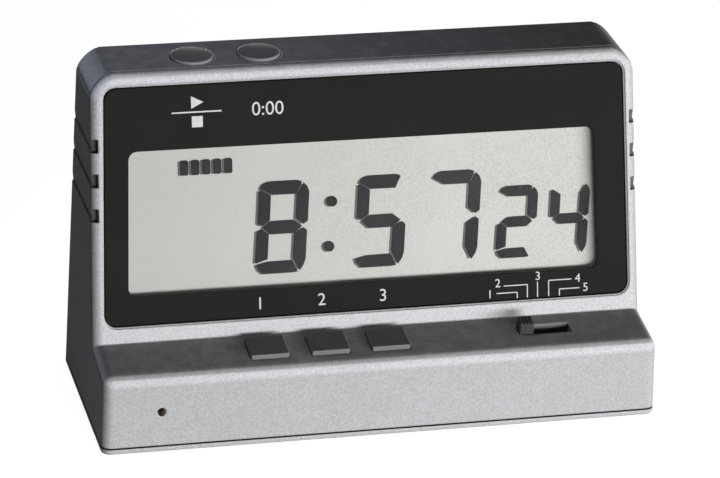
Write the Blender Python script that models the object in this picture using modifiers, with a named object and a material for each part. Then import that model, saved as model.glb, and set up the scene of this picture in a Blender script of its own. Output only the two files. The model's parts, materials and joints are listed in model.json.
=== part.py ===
"""Desktop digital timer with a wide liquid crystal display.

The object stands on four rubber feet and faces -Y. Its housing is a front case, a rear shell
and a base plate. Two round buttons sit in the top, three keys and a slide switch sit in a
shelf below the display, and a hinged door in the back covers two cells. Inside are the
display stack, three circuit boards, a sounder and the cell contacts.

Units are metres and +Z is up. The origin is the middle of the footprint, on the table.
"""

import math

import bmesh
import bpy
from mathutils import Matrix, Vector

MM = 0.001
GAP = 0.3 * MM
OVERSHOOT = 2.0 * MM

# Housing: side profile, measured back from the front lower edge and up from the base
FOOT_STAND = 1.0 * MM
HALF_WIDTH = 82.5 * MM
SIDE_DRAFT = 0.020
HOUSING_DEPTH = 61.3 * MM
SHELF_FRONT = (1.7 * MM, 23.2 * MM)
FACE_FOOT = (19.5 * MM, 25.5 * MM)
FACE_TOP = (38.3 * MM, 101.0 * MM)
TOP_REAR_HEIGHT = 100.9 * MM

# Housing: walls, seams and roundings
WALL = 2.2 * MM
FRONT_SKIN = 2.2 * MM
FRONT_WALL = 3.4 * MM
LIP_THICKNESS = 1.4 * MM
LIP_DEPTH = 6.0 * MM
BASE_THICKNESS = 1.8 * MM
BASE_RIM_HEIGHT = 2.4 * MM
TOP_CORNER_RADIUS = 6.6 * MM
TOP_CORNER_FULLNESS = 0.4
CREASE_UP = 94.9 * MM
CREASE_DEPTH = 0.45 * MM
FRONT_EDGE_RADIUS = 2.9 * MM
REAR_EDGE_RADIUS = 1.6 * MM
BASE_EDGE_RADIUS = 0.7 * MM

# Grip notches in the front edges, with sawtooth grooves along the sides behind them
NOTCH_COUNT = 3
NOTCH_TOP_ALONG_FACE = 59.5 * MM
NOTCH_PITCH = 10.0 * MM
NOTCH_HEIGHT = 3.9 * MM
NOTCH_REACH = 2.1 * MM
NOTCH_DEPTH = FRONT_SKIN + 0.1 * MM
GROOVE_DEPTH = 0.55 * MM
GROOVE_FALL = 0.026

# Window panel and display, measured along the face from its foot
WINDOW_BOTTOM = 5.0 * MM
WINDOW_TOP = 73.8 * MM
WINDOW_HALF_WIDTH_BOTTOM = 78.2 * MM
WINDOW_HALF_WIDTH_TOP = 76.6 * MM
WINDOW_CORNER = 3.5 * MM
WINDOW_SETBACK = 0.5 * MM
WINDOW_THICKNESS = 1.5 * MM
WINDOW_STEP = 0.5 * MM
WINDOW_STEP_DEPTH = 0.35 * MM
DISPLAY_CENTRE_X = -1.5 * MM
DISPLAY_CENTRE_ALONG = 34.4 * MM
DISPLAY_OPENING = (142.8 * MM, 44.6 * MM)
GLASS_SIZE = (144.0 * MM, 48.0 * MM)
GLASS_THICKNESS = 2.2 * MM
REFLECTOR_THICKNESS = 0.3 * MM
HOLDER_SIZE = (150.0 * MM, 60.0 * MM)
HOLDER_DEPTH = 6.0 * MM
STRIP_SIZE = (136.0 * MM, 2.0 * MM)
BOARD_THICKNESS = 1.6 * MM

# Round buttons, measured back along the top from the face
ROUND_BUTTON_X = {"start_stop_button": -49.2 * MM, "reset_button": -29.6 * MM}
ROUND_BUTTON_BACK = 10.4 * MM
ROUND_BUTTON_RADIUS = 6.2 * MM
ROUND_BUTTON_PROUD = 0.9 * MM
ROUND_BUTTON_DOME = 0.35 * MM
ROUND_BUTTON_TRAVEL = 0.9 * MM
FLANGE_WIDTH = 1.2 * MM
ROUND_STEM_LENGTH = 4.6 * MM

# Setting keys, measured back along the shelf from its front edge
KEY_X = {"hour_key": -32.7 * MM, "minute_key": -14.8 * MM, "second_key": 3.1 * MM}
KEY_SIZE = (11.2 * MM, 9.8 * MM)
KEY_CENTRE_BACK = 10.2 * MM
KEY_PROUD = 1.4 * MM
KEY_TRAVEL = 1.0 * MM

# Slide switch
SLOT_LEFT = 42.2 * MM
SLOT_RIGHT = 58.4 * MM
SLOT_FRONT_BACK = (8.1 * MM, 12.9 * MM)
KNOB_WIDTH = 4.0 * MM
KNOB_PROUD = 3.7 * MM
KNOB_RIBS = 3

# Sounder behind the small hole in the front panel
SOUND_HOLE_X = -65.3 * MM
SOUND_HOLE_UP = 12.4 * MM
SOUND_HOLE_RADIUS = 1.3 * MM
SOUNDER_RADIUS = 6.2 * MM

# Battery bay in the back, measured up from the base
BAY_HALF_WIDTH = 29.6 * MM
BAY_BOTTOM = 16.0 * MM
BAY_TOP = 46.4 * MM
BAY_DEPTH = 17.6 * MM
BAY_WALL = 1.6 * MM
DOOR_LEDGE = 1.8 * MM
DOOR_THICKNESS = 2.0 * MM
CELL_RADIUS = 7.2 * MM
CELL_LENGTH = 50.0 * MM
CELL_PITCH = 14.9 * MM

# Fasteners and feet
FOOT_RADIUS = 4.5 * MM
FOOT_SEAT = 0.9 * MM
FOOT_X = 66.0 * MM
FOOT_BACK = (10.0 * MM, 51.0 * MM)
BASE_SCREW_X = 74.0 * MM
BASE_SCREW_BACK = (14.5 * MM, 46.0 * MM)
REAR_SCREW_X = 70.0 * MM
REAR_SCREW_UP = 93.0 * MM
BOSS_RADIUS = 3.3 * MM
SCREW_RADIUS = 1.2 * MM
SCREW_HEAD_RADIUS = 2.4 * MM

# Shelf and top switch boards, measured down from the outer surface
KEY_STEM_DEPTH = 6.2 * MM
PAD_THICKNESS = 0.9 * MM

SEGMENTS_LARGE = 32
SEGMENTS_SMALL = 16

FINISHES = {
    "silver_case": ((0.52, 0.52, 0.54), 0.42, 0.55),
    "silver_key": ((0.46, 0.46, 0.48), 0.40, 0.50),
    "window_black": ((0.020, 0.020, 0.018), 0.12, 0.0),
    "display_glass": ((0.72, 0.72, 0.66), 0.15, 0.0),
    "reflector_film": ((0.70, 0.70, 0.68), 0.35, 0.6),
    "black_plastic": ((0.03, 0.03, 0.03), 0.50, 0.0),
    "board_green": ((0.05, 0.22, 0.08), 0.45, 0.0),
    "chip_resin": ((0.02, 0.02, 0.02), 0.35, 0.0),
    "bright_metal": ((0.75, 0.75, 0.76), 0.25, 1.0),
    "brass_disc": ((0.78, 0.60, 0.25), 0.30, 1.0),
    "grey_rubber": ((0.10, 0.10, 0.10), 0.85, 0.0),
    "black_rubber": ((0.03, 0.03, 0.03), 0.80, 0.0),
    "cell_jacket": ((0.08, 0.09, 0.12), 0.35, 0.2),
    "red_wire": ((0.55, 0.03, 0.03), 0.50, 0.0),
    "black_wire": ((0.02, 0.02, 0.02), 0.50, 0.0),
    "grey_ribbon": ((0.45, 0.45, 0.45), 0.55, 0.0),
}

parts = None
cutters = None


def clear_scene():
    """Remove whatever the file holds and make the two collections."""
    global parts, cutters
    for old in list(bpy.data.objects):
        bpy.data.objects.remove(old, do_unlink=True)
    parts = bpy.data.collections.new("desktop_digital_timer")
    cutters = bpy.data.collections.new("cutters")
    bpy.context.scene.collection.children.link(parts)
    bpy.context.scene.collection.children.link(cutters)


def material_for(name, finish):
    """Plain material of one sub-part, from the table of finishes."""
    colour, roughness, metallic = FINISHES[finish]
    material = bpy.data.materials.new(name + "_" + finish)
    material.use_nodes = True
    shader = material.node_tree.nodes["Principled BSDF"]
    shader.inputs["Base Color"].default_value = (*colour, 1.0)
    shader.inputs["Roughness"].default_value = roughness
    shader.inputs["Metallic"].default_value = metallic
    material.diffuse_color = (*colour, 1.0)
    return material


def add_part(name, bm, place, finish, smooth_angle=30.0):
    """Make a named sub-part from a bmesh that is given in the part's own place."""
    mesh = bpy.data.meshes.new(name)
    bm.to_mesh(mesh)
    bm.free()
    mesh.materials.append(material_for(name, finish))
    mesh.shade_smooth()
    mesh.set_sharp_from_angle(angle=math.radians(smooth_angle))
    part = bpy.data.objects.new(name, mesh)
    part.matrix_world = place
    parts.objects.link(part)
    return part


def add_cutter(name, bm, place):
    """Make a tool body that shapes another part and is not a part itself."""
    mesh = bpy.data.meshes.new(name)
    bm.to_mesh(mesh)
    bm.free()
    cutter = bpy.data.objects.new(name, mesh)
    cutter.matrix_world = place
    cutter.hide_render = True
    cutter.display_type = "WIRE"
    cutters.objects.link(cutter)
    return cutter


def combine(part, tool, operation):
    """Join, cut or intersect a part with a tool body."""
    modifier = part.modifiers.new(operation.lower() + "_" + tool.name, "BOOLEAN")
    modifier.operation = operation
    modifier.solver = "EXACT"
    modifier.object = tool


def offset_run(start, end, distance):
    """Two points on a profile run after it is moved inward by a distance."""
    along = Vector(end) - Vector(start)
    along.normalize()
    inward = Vector((along.y, -along.x))
    return Vector(start) + inward * distance, along


def crossing(first, second):
    """Where two lines, each a point and a direction, meet."""
    point, along = first
    other, across = second
    denominator = along.x * across.y - along.y * across.x
    offset = other - point
    step = (offset.x * across.y - offset.y * across.x) / denominator
    return point + along * step


def inset_profile(distances):
    """Housing profile with each run moved inward by its own distance."""
    runs = []
    for index, point in enumerate(PROFILE):
        following = PROFILE[(index + 1) % len(PROFILE)]
        runs.append(offset_run(point, following, distances[index]))
    return [crossing(runs[index - 1], runs[index]) for index in range(len(runs))]


def run_frame(start, end):
    """Frame on a profile run: X across the housing, Y along the run, Z outward."""
    across = Vector((1.0, 0.0, 0.0))
    along = Vector((0.0, end[0] - start[0], end[1] - start[1])).normalized()
    outward = across.cross(along)
    frame = Matrix((across, along, outward)).transposed().to_4x4()
    frame.translation = Vector((0.0, start[0], start[1]))
    return frame


def half_width_at(height):
    """Half of the housing's width at a height over the table."""
    return HALF_WIDTH - SIDE_DRAFT * (height - FOOT_STAND)


def profile_point(back, up):
    """Point of the side profile from its distances back and up."""
    return (back - HOUSING_DEPTH / 2.0, up + FOOT_STAND)


PROFILE = [
    profile_point(0.0, 0.0),
    profile_point(*SHELF_FRONT),
    profile_point(*FACE_FOOT),
    profile_point(*FACE_TOP),
    profile_point(HOUSING_DEPTH, TOP_REAR_HEIGHT),
    profile_point(HOUSING_DEPTH, 0.0),
]
PANEL_FRAME = run_frame(PROFILE[0], PROFILE[1])
SHELF_FRAME = run_frame(PROFILE[1], PROFILE[2])
FACE_FRAME = run_frame(PROFILE[2], PROFILE[3])
TOP_FRAME = run_frame(PROFILE[3], PROFILE[4])
BACK_Y = PROFILE[4][0]


def world(x, back, up):
    """World place from a distance across, back from the front edge and up from the base."""
    y, z = profile_point(back, up)
    return Vector((x, y, z))


def box_mesh(size, centre=(0.0, 0.0, 0.0)):
    """Box of a given size about a centre."""
    bm = bmesh.new()
    bmesh.ops.create_cube(bm, size=1.0)
    bmesh.ops.scale(bm, vec=Vector(size), verts=bm.verts)
    bmesh.ops.translate(bm, vec=Vector(centre), verts=bm.verts)
    return bm


def rounded_box_mesh(size, radius, segments, centre=(0.0, 0.0, 0.0)):
    """Box with all its edges rounded."""
    bm = box_mesh(size)
    bmesh.ops.bevel(
        bm, geom=bm.edges[:], offset=radius, offset_type="OFFSET", segments=segments,
        profile=0.5, affect="EDGES", clamp_overlap=False, material=-1,
    )
    bmesh.ops.translate(bm, vec=Vector(centre), verts=bm.verts)
    return bm


def rod_mesh(radius, bottom, top, segments=SEGMENTS_SMALL, tip_radius=None):
    """Round rod along Z, or a taper where the tip has another radius."""
    bm = bmesh.new()
    tip = radius if tip_radius is None else tip_radius
    bmesh.ops.create_cone(
        bm, cap_ends=True, segments=segments, radius1=radius, radius2=tip, depth=top - bottom,
    )
    bmesh.ops.translate(bm, vec=(0.0, 0.0, (top + bottom) / 2.0), verts=bm.verts)
    return bm


def append_mesh(bm, other, matrix=None):
    """Add the bodies of a second bmesh to the first and free the second."""
    if matrix is not None:
        bmesh.ops.transform(other, matrix=matrix, verts=other.verts)
    mesh = bpy.data.meshes.new("joined")
    other.to_mesh(mesh)
    other.free()
    bm.from_mesh(mesh)
    bpy.data.meshes.remove(mesh)
    return bm


def rounded_outline(corners, radius, steps=5):
    """Closed outline whose corners, given counter-clockwise, are replaced by arcs."""
    outline = []
    count = len(corners)
    for index in range(count):
        corner = Vector(corners[index])
        before = (Vector(corners[index - 1]) - corner).normalized()
        after = (Vector(corners[(index + 1) % count]) - corner).normalized()
        half_angle = before.angle(after) / 2.0
        centre = corner + (before + after).normalized() * (radius / math.sin(half_angle))
        start = corner + before * (radius / math.tan(half_angle)) - centre
        sweep = math.pi - 2.0 * half_angle
        for step in range(steps + 1):
            turn = sweep * step / steps
            x = start.x * math.cos(turn) - start.y * math.sin(turn)
            y = start.x * math.sin(turn) + start.y * math.cos(turn)
            outline.append((centre.x + x, centre.y + y))
    return outline


def rectangle(width, height, centre=(0.0, 0.0)):
    """Corners of a rectangle, counter-clockwise."""
    x, y = width / 2.0, height / 2.0
    signs = ((-1, -1), (1, -1), (1, 1), (-1, 1))
    return [(centre[0] + sx * x, centre[1] + sy * y) for sx, sy in signs]


def mesh_of_curve(data, matrix=None):
    """Closed mesh of a curve, with its caps welded to its walls."""
    curve = bpy.data.objects.new("outline", data)
    bpy.context.scene.collection.objects.link(curve)
    if matrix is not None:
        curve.matrix_world = matrix
    graph = bpy.context.evaluated_depsgraph_get()
    mesh = bpy.data.meshes.new_from_object(curve.evaluated_get(graph))
    bm = bmesh.new()
    bm.from_mesh(mesh)
    bmesh.ops.transform(bm, matrix=curve.matrix_world, verts=bm.verts)
    bmesh.ops.remove_doubles(bm, verts=bm.verts, dist=0.00001)
    bmesh.ops.recalc_face_normals(bm, faces=bm.faces)
    bpy.data.objects.remove(curve, do_unlink=True)
    bpy.data.curves.remove(data)
    bpy.data.meshes.remove(mesh)
    return bm


def plate_mesh(outlines, bottom, top, matrix=None):
    """Flat plate between two heights; outlines after the first are holes in it."""
    data = bpy.data.curves.new("plate", "CURVE")
    data.dimensions = "2D"
    data.fill_mode = "BOTH"
    data.extrude = (top - bottom) / 2.0
    for outline in outlines:
        spline = data.splines.new("POLY")
        spline.points.add(len(outline) - 1)
        for point, (x, y) in zip(spline.points, outline):
            point.co = (x, y, 0.0, 1.0)
        spline.use_cyclic_u = True
    rise = Matrix.Translation((0.0, 0.0, (top + bottom) / 2.0))
    bm = mesh_of_curve(data, rise)
    if matrix is not None:
        bmesh.ops.transform(bm, matrix=matrix, verts=bm.verts)
    return bm


def tube_mesh(points, radius, resolution=0, cyclic=False):
    """Round wire through a list of points."""
    data = bpy.data.curves.new("tube", "CURVE")
    data.dimensions = "3D"
    data.bevel_depth = radius
    data.bevel_resolution = resolution
    data.use_fill_caps = not cyclic
    spline = data.splines.new("POLY")
    spline.points.add(len(points) - 1)
    for point, place in zip(spline.points, points):
        point.co = (*place, 1.0)
    spline.use_cyclic_u = cyclic
    return mesh_of_curve(data)


def turned_part(name, profile, place, finish, segments=SEGMENTS_LARGE):
    """Turned part: a profile that runs down its outer side is swept about Z."""
    mesh = bpy.data.meshes.new(name)
    bm = bmesh.new()
    points = [bm.verts.new((radius, 0.0, height)) for radius, height in profile]
    for first, second in zip(points, points[1:]):
        bm.edges.new((first, second))
    bm.to_mesh(mesh)
    bm.free()
    mesh.materials.append(material_for(name, finish))
    part = bpy.data.objects.new(name, mesh)
    part.matrix_world = place
    parts.objects.link(part)
    screw = part.modifiers.new("turn", "SCREW")
    screw.steps = segments
    screw.render_steps = segments
    screw.use_merge_vertices = True
    screw.merge_threshold = 0.00001
    screw.use_smooth_shade = True
    return part


def bevel(bm, edges, radius, segments, fullness=0.5):
    """Round a set of edges; a fullness under one half gives a flatter corner."""
    bmesh.ops.bevel(
        bm, geom=list(edges), offset=radius, offset_type="OFFSET", segments=segments,
        profile=fullness, affect="EDGES", clamp_overlap=False, material=-1,
    )


def merge_flat_faces(bm):
    """Join neighbouring faces that lie in one plane."""
    bm.normal_update()
    seams = [edge for edge in bm.edges if edge.is_manifold and edge.calc_face_angle() < 0.0005]
    bmesh.ops.dissolve_edges(bm, edges=seams, use_verts=False)


def lies_on(edge, frame):
    """Whether an edge lies in the plane of a profile run."""
    origin = frame.translation
    outward = frame.col[2].to_3d()
    return all(abs((vert.co - origin).dot(outward)) < 1e-6 for vert in edge.verts)


def profile_solid(points, side_inset, corner_radius):
    """Housing-shaped solid: a side profile drawn across the width, with drafted sides."""
    turn = Matrix(((0, 0, 1, 0), (1, 0, 0, 0), (0, 1, 0, 0), (0, 0, 0, 1)))
    outline = [(point[0], point[1]) for point in points]
    bm = plate_mesh([outline], -HALF_WIDTH, HALF_WIDTH, turn)
    merge_flat_faces(bm)
    for vert in bm.verts:
        vert.co.x = math.copysign(half_width_at(vert.co.z) - side_inset, vert.co.x)
    bm.normal_update()
    top = run_frame(points[3], points[4])
    length = (Vector(points[4]) - Vector(points[3])).length
    depth_edges = [
        edge for edge in bm.edges
        if lies_on(edge, top) and abs(edge.calc_length() - length) < 1e-4
    ]
    bevel(bm, depth_edges, corner_radius, 6, TOP_CORNER_FULLNESS)
    return bm


def housing_blank():
    """Outer form of the whole housing with all its roundings."""
    bm = profile_solid(PROFILE, 0.0, TOP_CORNER_RADIUS)
    low = PROFILE[0][1] + 1e-6
    foot = PROFILE[2]
    front_edges = []
    for edge in bm.edges:
        on_front = any(lies_on(edge, frame) for frame in (PANEL_FRAME, SHELF_FRAME, FACE_FRAME))
        at_base = all(vert.co.z < low for vert in edge.verts)
        at_foot = all((Vector(foot) - vert.co.yz).length < 1e-6 for vert in edge.verts)
        if on_front and not at_base and not at_foot:
            front_edges.append(edge)
    bevel(bm, front_edges, FRONT_EDGE_RADIUS, 5)
    back = run_frame(PROFILE[4], PROFILE[5])
    back_edges = [
        edge for edge in bm.edges
        if lies_on(edge, back) and not all(vert.co.z < low for vert in edge.verts)
    ]
    bevel(bm, back_edges, REAR_EDGE_RADIUS, 3)
    base_edges = [
        edge for edge in bm.edges
        if all(vert.co.z < low for vert in edge.verts)
    ]
    bevel(bm, base_edges, BASE_EDGE_RADIUS, 2)
    return bm


def inner_solid(side, distances):
    """Form of the housing shrunk by the side distance and by one distance for each run."""
    points = inset_profile(distances)
    radius = max(TOP_CORNER_RADIUS - side, 0.8 * MM)
    return profile_solid(points, side, radius)


def front_zone(depth):
    """Everything in front of a surface that follows the front at a depth below it."""
    points = inset_profile([depth, depth, depth, 0.0, 0.0, 0.0])
    low, high, far = -20.0 * MM, 130.0 * MM, -80.0 * MM
    panel = offset_run(PROFILE[0], PROFILE[1], depth)
    face = offset_run(PROFILE[2], PROFILE[3], depth)
    level = Vector((1.0, 0.0))
    outline = [
        (far, low),
        tuple(crossing(panel, (Vector((0.0, low)), level))),
        tuple(points[1]),
        tuple(points[2]),
        tuple(crossing(face, (Vector((0.0, high)), level))),
        (far, high),
    ]
    turn = Matrix(((0, 0, 1, 0), (1, 0, 0, 0), (0, 1, 0, 0), (0, 0, 0, 1)))
    return plate_mesh([outline], -1.2 * HALF_WIDTH, 1.2 * HALF_WIDTH, turn)


def height_slab(low, high):
    """Wide flat block between two heights over the table."""
    size = (3.0 * HALF_WIDTH, 3.0 * HOUSING_DEPTH, high - low)
    return box_mesh(size, (0.0, 0.0, (low + high) / 2.0))


def window_outline(grow, corner):
    """Outline of the window panel on the face, which narrows towards the top."""
    corners = [
        (-WINDOW_HALF_WIDTH_BOTTOM - grow, WINDOW_BOTTOM - grow),
        (WINDOW_HALF_WIDTH_BOTTOM + grow, WINDOW_BOTTOM - grow),
        (WINDOW_HALF_WIDTH_TOP + grow, WINDOW_TOP + grow),
        (-WINDOW_HALF_WIDTH_TOP - grow, WINDOW_TOP + grow),
    ]
    return rounded_outline(corners, corner)


def notch_cutter():
    """Square notches in both upright edges of the front case."""
    bm = bmesh.new()
    for index in range(NOTCH_COUNT):
        top = NOTCH_TOP_ALONG_FACE - index * NOTCH_PITCH
        middle = top - NOTCH_HEIGHT / 2.0
        height = (FACE_FRAME @ Vector((0.0, middle, 0.0))).z
        inner = half_width_at(height) - NOTCH_REACH
        outer = HALF_WIDTH + OVERSHOOT
        for side in (-1.0, 1.0):
            size = (outer - inner, NOTCH_HEIGHT, NOTCH_DEPTH + OVERSHOOT)
            centre = (side * (outer + inner) / 2.0, middle, (OVERSHOOT - NOTCH_DEPTH) / 2.0)
            append_mesh(bm, box_mesh(size, centre))
    return bm


def groove_cutter():
    """Sawtooth grooves along both sides: each slopes inward going down and ends on a ledge.

    They start level with the notches and fall a little towards the back.
    """
    bm = bmesh.new()
    turn = Matrix(((1, 0, 0, 0), (0, 0, -1, 0), (0, 1, 0, 0), (0, 0, 0, 1)))
    for index in range(NOTCH_COUNT):
        top_along = NOTCH_TOP_ALONG_FACE - index * NOTCH_PITCH
        start = FACE_FRAME @ Vector((0.0, top_along, 0.0))
        high = start.z
        low = (FACE_FRAME @ Vector((0.0, top_along - NOTCH_HEIGHT, 0.0))).z
        outline = [
            (half_width_at(low) - GROOVE_DEPTH, low),
            (HALF_WIDTH + OVERSHOOT, low),
            (HALF_WIDTH + OVERSHOOT, high),
            (half_width_at(high) + 0.001 * MM, high),
        ]
        mirrored = [(-x, z) for x, z in reversed(outline)]
        for shape, side in ((outline, 1.0), (mirrored, -1.0)):
            bar = plate_mesh([shape], -HOUSING_DEPTH, HOUSING_DEPTH, turn)
            for vert in bar.verts:
                fall = GROOVE_FALL * (vert.co.y - start.y)
                vert.co.z -= fall
                vert.co.x += side * SIDE_DRAFT * fall
            append_mesh(bm, bar)
    crease = CREASE_UP + FOOT_STAND
    edge = half_width_at(crease)
    tilt = Matrix.Rotation(math.pi / 2.0, 4, "X")
    for side in (-1.0, 1.0):
        bar = rod_mesh(CREASE_DEPTH, -HOUSING_DEPTH, HOUSING_DEPTH, 6)
        append_mesh(bm, bar, Matrix.Translation((side * edge, 0.0, crease)) @ tilt)
    return bm


def boss_tool(name, x, back, low, high, radius=BOSS_RADIUS):
    """Upright round post, as a tool body that is joined to a case."""
    place = Matrix.Translation(world(x, back, 0.0))
    return add_cutter(name, rod_mesh(radius, low, high), place)


def level_rod(radius, front, rear, segments=SEGMENTS_SMALL):
    """Round rod that runs straight back, from one distance back to another."""
    turn = Matrix.Rotation(-math.pi / 2.0, 4, "X")
    bm = rod_mesh(radius, front, rear, segments)
    bmesh.ops.transform(bm, matrix=turn, verts=bm.verts)
    return bm


def front_shell():
    """Front case without its openings: skin, locating lip, bosses and face posts."""
    case = add_part("front_case", housing_blank(), Matrix.Identity(4), "silver_case")
    skin_zone = add_cutter("skin_zone", front_zone(FRONT_SKIN), Matrix.Identity(4))
    combine(case, skin_zone, "INTERSECT")

    clear = WALL + GAP
    lip = add_cutter(
        "lip_body", inner_solid(clear, [0.4 * MM, 0.4 * MM, 0.4 * MM, clear, clear, 0.0]),
        Matrix.Identity(4),
    )
    lip_zone = add_cutter("lip_zone", front_zone(LIP_DEPTH), Matrix.Identity(4))
    combine(lip, lip_zone, "INTERSECT")
    combine(case, lip, "UNION")

    inside = clear + LIP_THICKNESS
    hollow = add_cutter(
        "front_hollow",
        inner_solid(inside, [FRONT_WALL, FRONT_WALL, FRONT_WALL, inside, inside, -OVERSHOOT]),
        Matrix.Identity(4),
    )
    combine(case, hollow, "DIFFERENCE")

    for side in (-1.0, 1.0):
        boss = boss_tool(
            f"front_boss_{int(side)}", side * BASE_SCREW_X, BASE_SCREW_BACK[0],
            BASE_THICKNESS + GAP, SHELF_FRONT[1] - 0.5 * MM,
        )
        combine(case, boss, "UNION")
        place = Matrix.Translation(world(side * REAR_SCREW_X, 0.0, REAR_SCREW_UP))
        post = level_rod(BOSS_RADIUS, 37.2 * MM, 44.4 * MM)
        combine(case, add_cutter(f"face_post_{int(side)}", post, place), "UNION")

    base_cut = height_slab(-OVERSHOOT * 5, FOOT_STAND + BASE_THICKNESS + GAP)
    combine(case, add_cutter("front_base_cut", base_cut, Matrix.Identity(4)), "DIFFERENCE")
    return case


def cut_face(case):
    """Window recess with its stepped edge, display opening and grip notches in the face."""
    recess_depth = WINDOW_SETBACK + WINDOW_THICKNESS + GAP
    recess = plate_mesh([window_outline(GAP, WINDOW_CORNER)], -recess_depth, OVERSHOOT)
    combine(case, add_cutter("window_recess", recess, FACE_FRAME), "DIFFERENCE")
    step = plate_mesh(
        [window_outline(GAP + WINDOW_STEP, WINDOW_CORNER + WINDOW_STEP)],
        -WINDOW_STEP_DEPTH, OVERSHOOT,
    )
    combine(case, add_cutter("window_step", step, FACE_FRAME), "DIFFERENCE")
    display = rounded_outline(
        rectangle(*DISPLAY_OPENING, (DISPLAY_CENTRE_X, DISPLAY_CENTRE_ALONG)), 2.0 * MM,
    )
    opening = plate_mesh([display], -FRONT_WALL - OVERSHOOT, OVERSHOOT)
    combine(case, add_cutter("display_opening", opening, FACE_FRAME), "DIFFERENCE")
    combine(case, add_cutter("grip_notches", notch_cutter(), FACE_FRAME), "DIFFERENCE")


def cut_shelf(case):
    """Key holes and switch slot in the shelf."""
    shelf_holes = bmesh.new()
    for x in KEY_X.values():
        hole = rounded_outline(
            rectangle(KEY_SIZE[0] + 2 * GAP, KEY_SIZE[1] + 2 * GAP, (x, KEY_CENTRE_BACK)),
            0.6 * MM, 2,
        )
        append_mesh(shelf_holes, plate_mesh([hole], -FRONT_WALL - OVERSHOOT, OVERSHOOT))
    slot_width = SLOT_RIGHT - SLOT_LEFT
    slot_depth = SLOT_FRONT_BACK[1] - SLOT_FRONT_BACK[0]
    slot_centre = ((SLOT_RIGHT + SLOT_LEFT) / 2.0, sum(SLOT_FRONT_BACK) / 2.0)
    slot = rectangle(slot_width, slot_depth, slot_centre)
    append_mesh(shelf_holes, plate_mesh([slot], -FRONT_WALL - OVERSHOOT, OVERSHOOT))
    combine(case, add_cutter("shelf_holes", shelf_holes, SHELF_FRAME), "DIFFERENCE")


def drill_front_case(case):
    """Room for the round buttons in the lip, sound hole and pilot holes for the screws."""
    clear_radius = ROUND_BUTTON_RADIUS + FLANGE_WIDTH + 2 * GAP
    room = bmesh.new()
    for x in ROUND_BUTTON_X.values():
        rod = rod_mesh(clear_radius, -12.0 * MM, -WALL, 24)
        append_mesh(room, rod, Matrix.Translation((x, ROUND_BUTTON_BACK, 0.0)))
    combine(case, add_cutter("button_room", room, TOP_FRAME), "DIFFERENCE")

    hole = rod_mesh(SOUND_HOLE_RADIUS, -FRONT_WALL - OVERSHOOT, OVERSHOOT)
    place = PANEL_FRAME @ Matrix.Translation((SOUND_HOLE_X, SOUND_HOLE_UP, 0.0))
    combine(case, add_cutter("sound_hole", hole, place), "DIFFERENCE")

    pilots = bmesh.new()
    for side in (-1.0, 1.0):
        start = world(side * BASE_SCREW_X, BASE_SCREW_BACK[0], 0.0)
        pilot = rod_mesh(SCREW_RADIUS + GAP, -OVERSHOOT, 12.0 * MM, 12)
        append_mesh(pilots, pilot, Matrix.Translation(start))
        start = world(side * REAR_SCREW_X, 0.0, REAR_SCREW_UP)
        pilot = level_rod(SCREW_RADIUS + GAP, 40.4 * MM, 50.0 * MM, 12)
        append_mesh(pilots, pilot, Matrix.Translation(start))
    combine(case, add_cutter("front_pilot_holes", pilots, Matrix.Identity(4)), "DIFFERENCE")


def build_front_case():
    """Front case: face, shelf and front panel in one moulding, with all their openings."""
    case = front_shell()
    cut_face(case)
    cut_shelf(case)
    drill_front_case(case)
    return case


def keep_bay_walls(hollow):
    """Leave the walls of the battery bay and the frame of its door out of the hollow."""
    bay_height = BAY_TOP - BAY_BOTTOM + 2 * BAY_WALL
    bay_size = (2 * (BAY_HALF_WIDTH + BAY_WALL), BAY_DEPTH + BAY_WALL + OVERSHOOT, bay_height)
    middle_up = (BAY_TOP + BAY_BOTTOM) / 2.0
    bay_centre = world(0.0, HOUSING_DEPTH - bay_size[1] / 2.0 + OVERSHOOT, middle_up)
    bay = add_cutter("bay_walls", box_mesh(bay_size, bay_centre), Matrix.Identity(4))
    combine(hollow, bay, "DIFFERENCE")
    around = DOOR_LEDGE + GAP + BAY_WALL
    surround_size = (
        2 * (BAY_HALF_WIDTH + around + 1.0 * MM), DOOR_THICKNESS + 2 * BAY_WALL + OVERSHOOT,
        BAY_TOP - BAY_BOTTOM + 2 * around,
    )
    surround_centre = world(0.0, HOUSING_DEPTH - surround_size[1] / 2.0 + OVERSHOOT, middle_up)
    surround = box_mesh(surround_size, surround_centre)
    combine(hollow, add_cutter("door_surround", surround, Matrix.Identity(4)), "DIFFERENCE")


def keep_rear_posts(hollow):
    """Leave the screw posts and the webs beside them out of the hollow."""
    for side in (-1.0, 1.0):
        boss = boss_tool(
            f"rear_boss_{int(side)}", side * BASE_SCREW_X, BASE_SCREW_BACK[1],
            -OVERSHOOT, 14.0 * MM,
        )
        combine(hollow, boss, "DIFFERENCE")
        web_size = (10.0 * MM, 1.6 * MM, 14.0 * MM)
        web_centre = world(side * (BASE_SCREW_X + 5.0 * MM), BASE_SCREW_BACK[1], 7.0 * MM)
        web = add_cutter(f"boss_web_{int(side)}", box_mesh(web_size, web_centre), Matrix.Identity(4))
        combine(hollow, web, "DIFFERENCE")
        place = Matrix.Translation(world(side * REAR_SCREW_X, 0.0, REAR_SCREW_UP))
        post = level_rod(BOSS_RADIUS + 1.0 * MM, 44.7 * MM, HOUSING_DEPTH + OVERSHOOT)
        combine(hollow, add_cutter(f"rear_post_{int(side)}", post, place), "DIFFERENCE")


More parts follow.
